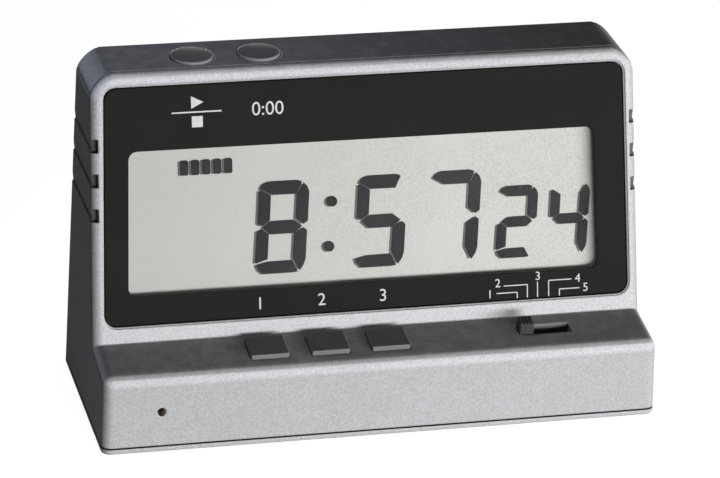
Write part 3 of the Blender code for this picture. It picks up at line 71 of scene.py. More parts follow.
Outline = tuple[Pair, ...]
BMesh = bmesh.types.BMesh
Socket = bpy.types.NodeSocket
Outputs = bpy.types.bpy_prop_collection
log = logging.getLogger("timer")


def srgb(red: int, green: int, blue: int) -> Triple:
    """Turn a display colour into the linear colour that a shader takes.

    Args:
        red: Red from 0 to 255.
        green: Green from 0 to 255.
        blue: Blue from 0 to 255.

    Returns:
        The three linear values from 0 to 1.
    """
    shares = [value / 255.0 for value in (red, green, blue)]
    return tuple(share / 12.92 if share <= 0.04045 else ((share + 0.055) / 1.055) ** 2.4
                 for share in shares)


def toned(colour: Triple, factor: float, lift: float = 0.0) -> Triple:
    """Scale a colour and lift it, with each value held to 1 at most."""
    return tuple(min(1.0, value * factor + lift) for value in colour)


# ---------------- places

@dataclass(frozen=True)
class Surface:
    """One flat outer surface of the housing, with its own x, along and out directions."""

    origin: Triple
    along: Triple
    outward: Triple

    def matrix(self) -> Matrix:
        """Give the matrix from this surface's millimetres to the model's metres."""
        rows = zip((1.0, 0.0, 0.0), self.along, self.outward, self.origin)
        return Matrix.Scale(MM, 4) @ Matrix((*rows, (0.0, 0.0, 0.0, 1.0)))

    def local(self, point: Vector) -> Vector:
        """Give a point of the model, in metres, as this surface's x, along and out."""
        return self.matrix().inverted() @ point


FACE = Surface((0.0, -11.15, 26.5), (0.0, 0.24165, 0.97036), (0.0, -0.97036, 0.24165))
SHELF = Surface((0.0, -28.95, 24.2), (0.0, 0.99176, 0.12815), (0.0, -0.12815, 0.99176))


# ---------------- mesh tools

def placed(name: str, data: bpy.types.ID) -> bpy.types.Object:
    """Make an object of some data and put it into the scene.

    Args:
        name: Name of the object.
        data: Its mesh, curve, lamp or camera.

    Returns:
        The new object.
    """
    made = bpy.data.objects.new(name, data)
    bpy.context.scene.collection.objects.link(made)
    return made


def outline_face(bm: BMesh, points: Outline) -> bmesh.types.BMFace:
    """Add a flat face at height zero. It looks up where its points run anticlockwise."""
    return bm.faces.new([bm.verts.new((x, y, 0.0)) for x, y in points])


def rounded_face(bm: BMesh, points: Outline, radius: float, segments: int = 6) -> None:
    """Add a flat face whose corners are rounded.

    Args:
        bm: The mesh to add to.
        points: Corners in order, anticlockwise.
        radius: How far each corner is cut back along its edges.
        segments: Steps round each corner.
    """
    bmesh.ops.bevel(
        bm, geom=list(outline_face(bm, points).verts), offset=radius, offset_type="OFFSET",
        affect="VERTICES", segments=segments, profile=0.5, material=-1,
    )


def face_up(bm: BMesh) -> None:
    """Turn over the faces that look down.

    Args:
        bm: The mesh to change.
    """
    for face in bm.faces:
        if face.normal.z < 0.0:
            face.normal_flip()


def thicken(bm: BMesh, low: float, high: float) -> None:
    """Turn every flat face of the mesh into a closed slab between two heights.

    Args:
        bm: A mesh of flat faces at height zero.
        low: Height of the underside.
        high: Height of the upper side.
    """
    bmesh.ops.translate(bm, verts=list(bm.verts), vec=(0.0, 0.0, low))
    grown = bmesh.ops.extrude_face_region(bm, geom=list(bm.faces), use_keep_orig=True)
    raised = [item for item in grown["geom"] if isinstance(item, bmesh.types.BMVert)]
    bmesh.ops.translate(bm, verts=raised, vec=(0.0, 0.0, high - low))
    bmesh.ops.recalc_face_normals(bm, faces=list(bm.faces))


def soften_rim(bm: BMesh, height: float, width: float, sharp: float = 0.8) -> None:
    """Round the sharp edges that lie at one height.

    Args:
        bm: The mesh to change.
        height: Height of the edges.
        width: Width of the rounding.
        sharp: Least angle of a sharp edge, in radians.
    """
    rim = [
        edge for edge in bm.edges
        if all(abs(vert.co.z - height) < 1e-4 for vert in edge.verts)
        and edge.calc_face_angle(0.0) > sharp
    ]
    bmesh.ops.bevel(
        bm, geom=rim, offset=width, offset_type="OFFSET", affect="EDGES", segments=2,
        profile=0.5, material=-1, clamp_overlap=True,
    )


def stroke(bm: BMesh, start: Pair, end: Pair, width: float) -> None:
    """Add a straight flat line between two points.

    Args:
        bm: The mesh to add to.
        start: Middle of one end.
        end: Middle of the other end.
        width: Width across.
    """
    run = Vector((end[0] - start[0], end[1] - start[1]))
    side = Vector((-run.y, run.x)).normalized() * width / 2.0
    outline_face(bm, [
        (point[0] + sign * side.x, point[1] + sign * side.y)
        for point, sign in ((start, -1.0), (end, -1.0), (end, 1.0), (start, 1.0))
    ])


def numerals(bm: BMesh, text: str, centre: Pair, height: float, share: float = 0.70) -> None:
    """Add plain numbers as flat faces.

    Args:
        bm: The mesh to add to.
        text: The numbers.
        centre: Middle of the printed text.
        height: Height of a number.
        share: Height of a number as a share of the font's size.
    """
    curve = bpy.data.curves.new("numerals", "FONT")
    curve.body = text
    curve.size = height / share
    curve.resolution_u = 6
    holder = placed("numerals", curve)
    bpy.context.view_layer.update()
    flat = bpy.data.meshes.new_from_object(holder)
    bpy.data.objects.remove(holder)
    bpy.data.curves.remove(curve)
    shift = []
    for axis, wanted in enumerate(centre):
        reach = [vert.co[axis] for vert in flat.vertices]
        shift.append(wanted - (min(reach) + max(reach)) / 2.0)
    flat.transform(Matrix.Translation((*shift, 0.0)))
    bm.from_mesh(flat)
    bpy.data.meshes.remove(flat)


def finished(name: str, bm: BMesh, place: Matrix, finish: "Finish", body: str) -> bpy.types.Object:
    """Make the finished object of a piece, with its place in its mesh.

    Args:
        name: Name of the piece.
        bm: Its mesh, which is freed.
        place: Matrix to the model's metres.
        finish: What it is made of.
        body: Body of the solid model that it rides on.

    Returns:
        The new object.
    """
    bmesh.ops.transform(bm, matrix=place, verts=list(bm.verts))
    for face in bm.faces:
        face.smooth = False
    mesh = bpy.data.meshes.new(name)
    bm.to_mesh(mesh)
    bm.free()
    mesh.materials.append(finish.material())
    piece = placed(name, mesh)
    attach(piece, body)
    log.info("piece %s: %d faces on %s", name, len(mesh.polygons), body)
    return piece


# ---------------- node trees

class Recipe:
    """A node tree being written, for a material, the world or a shared effect."""

    def __init__(self, tree: bpy.types.NodeTree) -> None:
        """Keep the tree that the nodes go into."""
        self.tree = tree

    def feed(self, target: Socket, value: object) -> None:
        """Join an output to an input, or give the input a value of its own.

        Args:
            target: The input.
            value: Output socket, number, vector or colour of three values.
        """
        if isinstance(value, bpy.types.NodeSocket):
            self.tree.links.new(value, target)
        elif target.type == "RGBA":
            target.default_value = (*value, 1.0)
        else:
            target.default_value = value

    def node(self, kind: str, inputs: dict | None = None, **settings: object) -> bpy.types.Node:
        """Add a node.

        Args:
            kind: Type name of the node.
            inputs: Sockets or values of its inputs, by name or by place.
            settings: Its own settings, by name.

        Returns:
            The new node.
        """
        made = self.tree.nodes.new(kind)
        for key, value in settings.items():
            setattr(made, key, value)
        for key, value in (inputs or {}).items():
            self.feed(made.inputs[key], value)
        return made

    def math(self, operation: str, *values: object, clamp: bool = False) -> Socket:
        """Add a Math node.

        Args:
            operation: Name of the operation.
            values: The sockets or numbers that it takes.
            clamp: Whether the result is held from 0 to 1.

        Returns:
            The result's socket.
        """
        return self.node("ShaderNodeMath", dict(enumerate(values)), operation=operation,
                         use_clamp=clamp).outputs[0]

    def ramp(self, value: Socket, span: Pair, onto: Pair = (0.0, 1.0)) -> Socket:
        """Stretch part of a value's range over another range.

        Args:
            value: Socket to stretch.
            span: Values that become the two ends.
            onto: The two ends.

        Returns:
            The stretched value's socket, held between the ends.
        """
        return self.node("ShaderNodeMapRange", dict(enumerate((value, *span, *onto))),
                         clamp=True).outputs[0]

    def mix(self, mask: Socket, first: object, second: object) -> Socket:
        """Mix two colours or sockets: the first where the mask is 0, the second where it is 1."""
        return self.node("ShaderNodeMix", {0: mask, 6: first, 7: second},
                         data_type="RGBA").outputs[2]

    def layered(self, base: object, *layers: tuple[Socket, object]) -> Socket:
        """Lay colours over one another.

        Args:
            base: Colour or socket at the bottom.
            layers: Mask and colour of each layer, from the bottom up.

        Returns:
            The colour's socket.
        """
        for mask, colour in layers:
            base = self.mix(mask, base, colour)
        return base

    def place(self) -> Socket:
        """Give the socket of the Object coordinates."""
        return self.node("ShaderNodeTexCoord").outputs["Object"]

    def parts(self, vector: Socket) -> Outputs:
        """Give the sockets of a vector's X, Y and Z."""
        return self.node("ShaderNodeSeparateXYZ", {0: vector}).outputs

    def depth(self, surface: Surface) -> Socket:
        """Give how far each point lies out of a surface of the housing.

        Args:
            surface: The surface.

        Returns:
            The distance's socket in metres, below 0 inside.
        """
        axes = self.parts(self.place())
        steps = [
            self.math("MULTIPLY", self.math("SUBTRACT", axes[i], surface.origin[i] * MM),
                      surface.outward[i])
            for i in (1, 2)
        ]
        return self.math("ADD", *steps)


class Effect(Recipe):
    """An effect that finishes share: a node group, built on first use."""

    title = ""
    inputs: tuple[str, ...] = ()

    def __init__(self) -> None:
        """Write the group with its named inputs."""
        super().__init__(bpy.data.node_groups.new(self.title, "ShaderNodeTree"))
        for key in self.inputs:
            self.tree.interface.new_socket(
                key, in_out="INPUT", socket_type="NodeSocketFloat")
        self.given = self.node("NodeGroupInput").outputs
        self.write()

    def write(self) -> None:
        """Write the effect's own nodes."""
        raise NotImplementedError

    def put_out(self, **results: Socket) -> None:
        """Give the group its named outputs.

        Args:
            results: Socket of each output by name.
        """
        for key in results:
            kind = "NodeSocketVector" if key == "Normal" else "NodeSocketFloat"
            self.tree.interface.new_socket(key, in_out="OUTPUT", socket_type=kind)
        self.node("NodeGroupOutput", results)

    @classmethod
    def group(cls) -> bpy.types.NodeTree:
        """Give the node group."""
        return bpy.data.node_groups.get(cls.title) or cls().tree


class Flakes(Effect):
    """Fine metal flakes in silver plastic, each with its own tint."""

    title = "metal flakes"
    inputs = ("Scale",)

    def write(self) -> None:
        """Write one tint for each cell."""
        cells = self.node("ShaderNodeTexVoronoi",
                          {"Vector": self.place(), "Scale": self.given["Scale"]})
        tint = self.node("ShaderNodeSeparateColor", {0: cells.outputs["Color"]}).outputs[0]
        self.put_out(Sparkle=self.math("SUBTRACT", tint, 0.5))


class Grain(Effect):
    """Fine moulded grain: a height, and a broad slow variation."""

    title = "moulded grain"
    inputs = ("Scale", "Broad")

    def write(self) -> None:
        """Write a fine noise and a broad one."""
        place = self.place()
        fine = self.node("ShaderNodeTexNoise", {
            "Vector": place, "Scale": self.given["Scale"], "Detail": 2.0, "Roughness": 0.6})
        slow = self.node("ShaderNodeTexNoise", {
            "Vector": place, "Scale": self.given["Broad"], "Detail": 3.0})
        self.put_out(Height=fine.outputs["Fac"], Slow=slow.outputs["Fac"])


class EdgeWearAndHighlight(Effect):
    """Rounded edges: a normal over them, and a mask of worn edges that also carries a painted
    highlight.
    """

    title = "worn and highlighted edges"
    inputs = ("Radius", "Spread")

    def write(self) -> None:
        """Compare the rounded normal with the flat one, in patches."""
        rounded = self.node("ShaderNodeBevel", {"Radius": self.given["Radius"]},
                            samples=6).outputs[0]
        flat = self.node("ShaderNodeNewGeometry").outputs["Normal"]
        dot = self.node("ShaderNodeVectorMath", {0: rounded, 1: flat},
                        operation="DOT_PRODUCT").outputs["Value"]
        patches = self.node("ShaderNodeTexNoise", {
            "Vector": self.place(), "Scale": self.given["Spread"]}).outputs["Fac"]
        mask = self.math("MULTIPLY", self.ramp(dot, (1.0, 0.86)),
                         self.ramp(patches, (0.35, 0.65)))
        self.put_out(Mask=mask, Normal=rounded)


class CreviceShade(Effect):
    """Painted shade in seams, grooves and inner corners."""

    title = "painted crevice shade"
    inputs = ("Reach", "Amount")

    def write(self) -> None:
        """Mask what is closed in."""
        hollow = self.node("ShaderNodeAmbientOcclusion", {"Distance": self.given["Reach"]},
                           samples=6).outputs["AO"]
        self.put_out(Mask=self.math("MULTIPLY", self.ramp(hollow, (0.70, 0.28)),
                                    self.given["Amount"]))


class TopShade(Effect):
    """Painted shade on faces that look up, thinner in patches."""

    title = "painted top shade"
    inputs = ("Scale", "Amount", "Up")

    def write(self) -> None:
        """Mask what lies level, through a fine noise."""
        motes = self.node("ShaderNodeTexNoise", {
            "Vector": self.place(), "Scale": self.given["Scale"], "Detail": 5.0})
        spots = self.ramp(motes.outputs["Fac"], (0.25, 0.6), (0.84, 1.0))
        settled = self.math("MULTIPLY", spots, self.ramp(self.given["Up"], (0.6, 0.96)))
        self.put_out(Mask=self.math("MULTIPLY", settled, self.given["Amount"]))


class Look(Recipe):
    """The nodes of one material, round its Principled shader."""

    def __init__(self, material: bpy.types.Material) -> None:
        """Take over the material's tree and its shader."""
        material.use_nodes = True
        super().__init__(material.node_tree)
        self.shader = next(n for n in self.tree.nodes if n.type == "BSDF_PRINCIPLED")

    def shade(self, values: dict[str, object]) -> None:
        """Set or link inputs of the shader, by their names."""
        for name, value in values.items():
            self.feed(self.shader.inputs[name], value)

    def effect(self, kind: type[Effect], **values: object) -> Outputs:
        """Place a shared effect.

        Args:
            kind: The effect.
            values: Its own values or sockets by input name.

        Returns:
            The effect's outputs.
        """
        return self.node("ShaderNodeGroup", values, node_tree=kind.group()).outputs

    def bump(self, height: Socket, distance: float, normal: Socket | None = None) -> None:
        """Raise the surface by a height.

        Args:
            height: Height from 0 to 1.
            distance: Height of 1 in metres.
            normal: Normal that it starts from.
        """
        values = {"Strength": 1.0, "Distance": distance, "Height": height}
        if normal is not None:
            values["Normal"] = normal
        self.shade({"Normal": self.node("ShaderNodeBump", values).outputs[0]})


# ---------------- finishes

@dataclass(frozen=True)
class Finish:
    """What a piece is made of. Each kind of finish writes its own material.

    The grain is two scales: that of its fine height and that of its broad variation.
    """

    name: str
    colour: Triple
    roughness: float
    grain: Pair = (2200.0, 60.0)
    grain_height: float = 0.000004
    edge_radius: float = 0.0002
    edge_spread: float = 60.0

    def material(self) -> bpy.types.Material:
        """Give the material, written on first use.

        Returns:
            The material of this finish.
        """
        if self.name in bpy.data.materials:
            return bpy.data.materials[self.name]
        made = bpy.data.materials.new(self.name)
        made.diffuse_color = (*self.colour, 1.0)
        look = Look(made)
        look.shade({"Base Color": self.colour, "Roughness": self.roughness})
        self.dress(look)
        return made

    def dress(self, look: Look) -> None:
        """Write the detail of the finish.

        Args:
            look: The material's nodes.
        """
        raise NotImplementedError

    def grained(self, look: Look) -> Outputs:
        """Place the moulded grain at this finish's scales."""
        return look.effect(Grain, Scale=self.grain[0], Broad=self.grain[1])

    def edged(self, look: Look) -> Outputs:
        """Place the worn and highlighted edges at this finish's radius."""
        return look.effect(EdgeWearAndHighlight, Radius=self.edge_radius, Spread=self.edge_spread)


@dataclass(frozen=True)
class SilverPlastic(Finish):
    """Satin plastic filled with fine metal flakes. Its edges are worn paler and partly painted
    lighter as a highlight. Faces that tilt partly up are painted brighter as a highlight, and
    faces that look up get a painted shade, as do seams, grooves and inner corners.

    The base seam is the height in millimetres of the line between the shells and the base
    plate. Where the front seam is given, as millimetres out of the face, what lies in front of
    it gets a painted shade.
    """

    grain: Pair = (2600.0, 30.0)
    grain_height: float = 0.000006
    edge_radius: float = 0.0008
    flake_scale: float = 3400.0
    flake_tint: float = 0.13
    flake_gloss: float = 0.06
    metal: float = 0.03
    # Share of the edges worn paler, partly as a painted highlight.
    wear_and_highlight: float = 0.15
    # Brightening of the painted highlight on faces that tilt partly up.
    shine: float = 1.4
    # Painted shade on faces that look up: its share, scale and colour.
    film: float = 0.8
    top_shade_scale: float = 260.0
    top_shade_colour: Triple = srgb(92, 87, 82)
    # Painted shade in seams, grooves and inner corners: its share, reach and colour.
    crevice_shade: float = 0.85
    crevice_shade_reach: float = 0.0012
    crevice_shade_colour: Triple = srgb(34, 33, 34)
    base_seam: float = 2.88
    base_colour: Triple = srgb(26, 25, 26)
    # Painted shade on the edge that meets the front case, where it shows through the notches.
    front_seam: float | None = None
    front_shade_colour: Triple = srgb(104, 103, 105)

    def dress(self, look: Look) -> None:
        """Write flakes, grain, worn edges partly painted as a highlight, a painted highlight on
        tilted faces, and painted shade on upward faces and in crevices.

        Args:
            look: The material's nodes.
        """
        sparkle = look.effect(Flakes, Scale=self.flake_scale)["Sparkle"]
        grain, edges = self.grained(look), self.edged(look)
        up = look.parts(edges["Normal"])["Z"]
        top_shading = look.effect(TopShade, Scale=self.top_shade_scale, Amount=self.film, Up=up)
        crevice_shade = look.effect(CreviceShade, Reach=self.crevice_shade_reach, Amount=self.crevice_shade)
        slow = look.ramp(grain["Slow"], (0.0, 1.0), (0.35, 0.65))
        shade = look.math("ADD", sparkle, slow, clamp=True)
        tones = (toned(self.colour, 1.0 - self.flake_tint * 1.3),
                 toned(self.colour, 1.0 + self.flake_tint))
        # Painted highlight: faces that tilt partly up, such as the roundings, are painted
        # brighter.
        tilt_highlight = look.math("MULTIPLY", look.ramp(up, (0.09, 0.5)), look.ramp(up, (0.97, 0.85)))
        layers = [
            (tilt_highlight, look.mix(shade, *(toned(tone, self.shine) for tone in tones))),
            # Edges worn paler, partly as a painted highlight.
            (look.math("MULTIPLY", edges["Mask"], self.wear_and_highlight), toned(self.colour, 1.25)),
            # Painted shade on faces that look up.
            (top_shading["Mask"], self.top_shade_colour),
            # Painted shade in seams, grooves and inner corners.
            (crevice_shade["Mask"], self.crevice_shade_colour),
            (self.base_shade(look), self.base_colour),
        ]
        # Painted shade on the edge that shows through the notches.
        if self.front_seam is not None:
            layers.append((self.front_shade(look), self.front_shade_colour))
        look.shade({
            "Metallic": self.metal,
            "Specular IOR Level": 0.0,
            "Base Color": look.layered(look.mix(shade, *tones), *layers),
            "Roughness": look.ramp(sparkle, (-0.5, 0.5), (self.roughness - self.flake_gloss,
                                                          self.roughness + self.flake_gloss)),
        })
        look.bump(grain["Height"], self.grain_height, edges["Normal"])

    def base_shade(self, look: Look) -> Socket:
        """Mask the dirt along the seam between the shells and the base plate.

        Args:
            look: The material's nodes.

        Returns:
            The mask's socket.
        """
        off = look.math("SUBTRACT", look.parts(look.place())["Z"], self.base_seam * MM)
        return look.ramp(look.math("ABSOLUTE", off), (0.36 * MM, 0.20 * MM), (0.0, 0.9))

    def front_shade(self, look: Look) -> Socket:
        """Mask the painted shade on the edge that meets the front case, where it shows through
        the notches.

        Args:
            look: The material's nodes.

        Returns:
            The mask's socket, which is 0 at the height of the shelf and below.
        """
        near = look.ramp(look.depth(FACE), ((self.front_seam - 0.06) * MM, self.front_seam * MM))
        high = look.ramp(look.parts(look.place())["Z"], (0.0295, 0.03))
        return look.math("MULTIPLY", near, high)


@dataclass(frozen=True)
class PlainPlastic(Finish):
    """Coloured moulded plastic with a fine grain. Its edges are worn paler and partly painted
    lighter as a highlight, and where a share of shade is given, faces that look up get a painted
    shade.

    Where a colour of light below the shelf is given, what lies deeper than the shelf's surface
    is painted that pale colour: a painted light on the switch's carrier in its slot.
    """

    grain_height: float = 0.000008
    edge_radius: float = 0.0003
    # Share of the edges worn paler, partly as a painted highlight.
    wear_and_highlight: float = 0.3
    coat: float = 0.0
    gloss: float = 0.5
    wear_and_highlight_colour: Triple = (0.0, 0.0, 0.0)
    # Painted shade on faces that look up: its share, scale and colour.
    film: float = 0.0
    top_shade_scale: float = 200.0
    top_shade_colour: Triple = srgb(52, 50, 48)
    # Painted light below the shelf's surface: its colour and depths.
    sunk_light: Triple | None = None
    sunk_depth: Pair = (-1.0 * MM, -1.4 * MM)

    def dress(self, look: Look) -> None:
        """Write grain, slow variation, worn edges partly painted as a highlight, painted shade on
        upward faces and painted light below the shelf.

        Args:
            look: The material's nodes.
        """
        grain, edges = self.grained(look), self.edged(look)
        # Colour of the worn edges, painted lighter as a highlight.
        pale = tuple(map(max, toned(self.colour, 1.3, 0.02), self.wear_and_highlight_colour))
        layers = [(grain["Slow"], self.colour),
                  (look.math("MULTIPLY", edges["Mask"], self.wear_and_highlight), pale)]
        # Painted shade on faces that look up.
        if self.film > 0.0:
            top_shading = look.effect(TopShade, Scale=self.top_shade_scale, Amount=self.film,
                               Up=look.parts(edges["Normal"])["Z"])
            layers.append((top_shading["Mask"], self.top_shade_colour))
        # Painted light: what lies below the shelf's surface is painted pale.
        if self.sunk_light is not None:
            layers.append((look.ramp(look.depth(SHELF), self.sunk_depth), self.sunk_light))
        look.shade({
            "Coat Weight": self.coat,
            "Coat Roughness": 0.08,
            "Specular IOR Level": self.gloss,
            "Base Color": look.layered(toned(self.colour, 0.88), *layers),
            "Roughness": look.ramp(grain["Slow"], (0.3, 0.7),
                                   (self.roughness - 0.05, self.roughness + 0.05)),
        })
        look.bump(grain["Height"], self.grain_height, edges["Normal"])


@dataclass(frozen=True)
class Rubber(Finish):
    """Matt rubber with a dusty bloom."""

    grain: Pair = (3200.0, 160.0)
    grain_height: float = 0.00002
    edge_radius: float = 0.0003
    edge_spread: float = 200.0

    def dress(self, look: Look) -> None:
        """Write the bloom, the grain and the soft edges.

        Args:
            look: The material's nodes.
        """
        grain, edges = self.grained(look), self.edged(look)
        bloom = toned(self.colour, 1.5, 0.015)
        look.shade({
            "Specular IOR Level": 0.3,
            "Base Color": look.layered(
                self.colour, (look.ramp(grain["Slow"], (0.4, 0.75)), bloom),
                (edges["Mask"], bloom)),
        })
        look.bump(grain["Height"], self.grain_height, edges["Normal"])


@dataclass(frozen=True)
class Metal(Finish):
    """Bare or plated metal with fine drawn lines along X and a slow tarnish."""

    grain: Pair = (1800.0, 120.0)
    lines: float = 5000.0
    drawn_out: Triple = (0.06, 1.0, 1.0)
    brushed: float = 0.3

    def dress(self, look: Look) -> None:
        """Write drawn lines, slow tarnish and bright edges.

        Args:
            look: The material's nodes.
        """
        place = look.node("ShaderNodeMapping", {"Scale": self.drawn_out, "Vector": look.place()})
        drawn = look.node("ShaderNodeTexNoise", {
            "Scale": self.lines, "Vector": place.outputs[0]}).outputs["Fac"]
        grain, edges = self.grained(look), self.edged(look)
        tarnished = look.ramp(grain["Slow"], (0.55, 0.3))
        look.shade({
            "Metallic": 1.0,
            "Base Color": look.layered(self.colour, (tarnished, toned(self.colour, 0.72)),
                                       (edges["Mask"], toned(self.colour, 1.2))),
            "Roughness": look.ramp(drawn, (0.3, 0.7), (self.roughness * (1.0 - self.brushed),
                                                       self.roughness * (1.0 + self.brushed))),
        })
        look.bump(drawn, self.grain_height, edges["Normal"])


@dataclass(frozen=True)
class Lacquer(Finish):
    """Circuit board under solder mask, with pale tracks and plated pads."""

    grain_height: float = 0.00003
    pitch: float = 420.0
    pad_pitch: float = 260.0
    lean: float = 76.0
    pad_colour: Triple = srgb(178, 178, 172)

    def dress(self, look: Look) -> None:
        """Write tracks, pads and the gloss of the mask.

        Args:
            look: The material's nodes.
        """
        place = look.node("ShaderNodeMapping", {
            "Rotation": (math.radians(self.lean), 0.0, 0.0), "Vector": look.place()}).outputs[0]
        tracks = look.node("ShaderNodeTexBrick", {
            "Scale": self.pitch, "Mortar Size": 0.08, "Brick Width": 3.5, "Row Height": 0.6,
            "Vector": place}).outputs["Fac"]
        pads = look.node("ShaderNodeTexVoronoi", {
            "Scale": self.pad_pitch, "Randomness": 0.7, "Vector": place}).outputs["Distance"]
        solder = look.ramp(pads, (0.20, 0.16))
        look.shade({
            "Coat Weight": 0.4,
            "Coat Roughness": 0.15,
            "Base Color": look.layered(self.colour, (tracks, toned(self.colour, 1.6, 0.01)),
                                       (solder, self.pad_colour)),
        })
        look.bump(look.math("ADD", solder, tracks), self.grain_height,
                  self.edged(look)["Normal"])


@dataclass(frozen=True)
class CellJacket(Finish):
    """Printed jacket of a round cell: a dark wrap with a copper band at one end."""

    grain: Pair = (1500.0, 90.0)
    edge_radius: float = 0.0005
    band: Triple = (0.5, 0.3, 0.12)
    band_start: Pair = (0.009, 0.0092)
    bare_start: Pair = (0.0238, 0.0239)
    bare_colour: Triple = srgb(196, 196, 192)
    scuff_colour: Triple = srgb(150, 148, 144)

    def dress(self, look: Look) -> None:
        """Write the wrap, its band, the bare ends and fine scuffs.

        Args:
            look: The material's nodes.
        """
        along = look.parts(look.place())["X"]
        ends = look.ramp(look.math("ABSOLUTE", along), self.bare_start)
        grain, edges = self.grained(look), self.edged(look)
        scuffed = look.ramp(grain["Slow"], (0.62, 0.8), (0.0, 0.35))
        look.shade({
            "Metallic": ends,
            "Base Color": look.layered(
                self.colour, (look.ramp(along, self.band_start), self.band),
                (ends, self.bare_colour), (scuffed, self.scuff_colour)),
        })
        look.bump(grain["Height"], self.grain_height, edges["Normal"])


@dataclass(frozen=True)
class DisplayGround(Finish):
    """Pale ground of a reflecting liquid crystal display, with its cloth-like mottle.

    It is painted darker towards the left: a painted shade that grows over its span.
    """

    grain: Pair = (1900.0, 26.0)
    mottle: float = 0.72
    # How dark the painted shade on the left gets, and where it runs.
    left_shade: float = 0.74
    left_shade_span: Pair = (0.03, -0.065)

    def dress(self, look: Look) -> None:
        """Write the mottle of the reflector, the sheen of the front film and the painted shade.

        Args:
            look: The material's nodes.
        """
        grain = self.grained(look)
        cool = tuple(value * share for value, share in zip(self.colour, (0.95, 0.97, 1.0)))
        left = look.ramp(look.parts(look.place())["X"], self.left_shade_span, (0.0, 0.7))
        look.shade({
            "Specular IOR Level": 0.02,
            "Base Color": look.layered(
                toned(self.colour, self.mottle),
                (look.ramp(grain["Height"], (0.3, 0.7)), self.colour),
                (look.ramp(grain["Slow"], (0.35, 0.65), (0.0, 0.6)), cool),
                # Painted shade towards the left.
                (left, toned(self.colour, self.left_shade))),
            "Roughness": look.ramp(grain["Height"], (0.3, 0.7), (0.42, 0.52)),
        })
        look.bump(grain["Height"], self.grain_height)


@dataclass(frozen=True)
class Ink(Finish):
    """Screen-printed ink with slightly uneven cover."""

    grain: Pair = (4200.0, 700.0)
    grain_height: float = 0.000003

    def dress(self, look: Look) -> None:
        """Write the uneven cover of the print.

        Args:
            look: The material's nodes.
        """
        grain = self.grained(look)
        cover = look.ramp(grain["Slow"], (0.35, 0.6))
        look.shade({"Specular IOR Level": 0.02,
                    "Base Color": look.mix(cover, toned(self.colour, 0.86), self.colour)})
        look.bump(grain["Height"], self.grain_height)


@dataclass(frozen=True)
class ClearPane(Finish):
    """Clear hard window with a faint haze of fine marks. It keeps a trace of gloss."""

    grain: Pair = (1200.0, 40.0)
    haze: Pair = (0.005, 0.015)
    shine: Pair = (0.05, 0.12)

    def dress(self, look: Look) -> None:
        """Write the haze and the polish of the pane.

        Args:
            look: The material's nodes.
        """
        grain = self.grained(look)
        look.shade({"Alpha": look.ramp(grain["Slow"], (0.3, 0.75), self.haze),
                    "Roughness": look.ramp(grain["Height"], (0.3, 0.7), self.shine)})


HOUSING = SilverPlastic("silver housing plastic", srgb(196, 196, 199), 0.36)
# Painted shade: a darker copy of the housing's plastic for the walls inside the notches and the
# switch slot.
INNER_SHADE_PLASTIC = PlainPlastic("shaded inner plastic", srgb(132, 131, 132), 0.6, gloss=0.03)
WINDOW_BLACK = PlainPlastic("window black", srgb(40, 38, 36), 0.3, grain_height=0.000001,
                            edge_radius=0.0002, wear_and_highlight=0.1, gloss=0.01)
SEGMENT = Ink("display segment", srgb(47, 45, 47), 0.6)
SEGMENT_EDGE = Ink("dark edge of a segment", srgb(14, 14, 18), 0.6)
SEGMENT_SHADE = Ink("segment shade on the ground", srgb(104, 106, 104), 0.6)
PRINT = Ink("white print", srgb(232, 232, 230), 0.5)
PANE = ClearPane("clear window", srgb(235, 238, 240), 0.08)
BRASS = Metal("brass", srgb(206, 170, 96), 0.3)

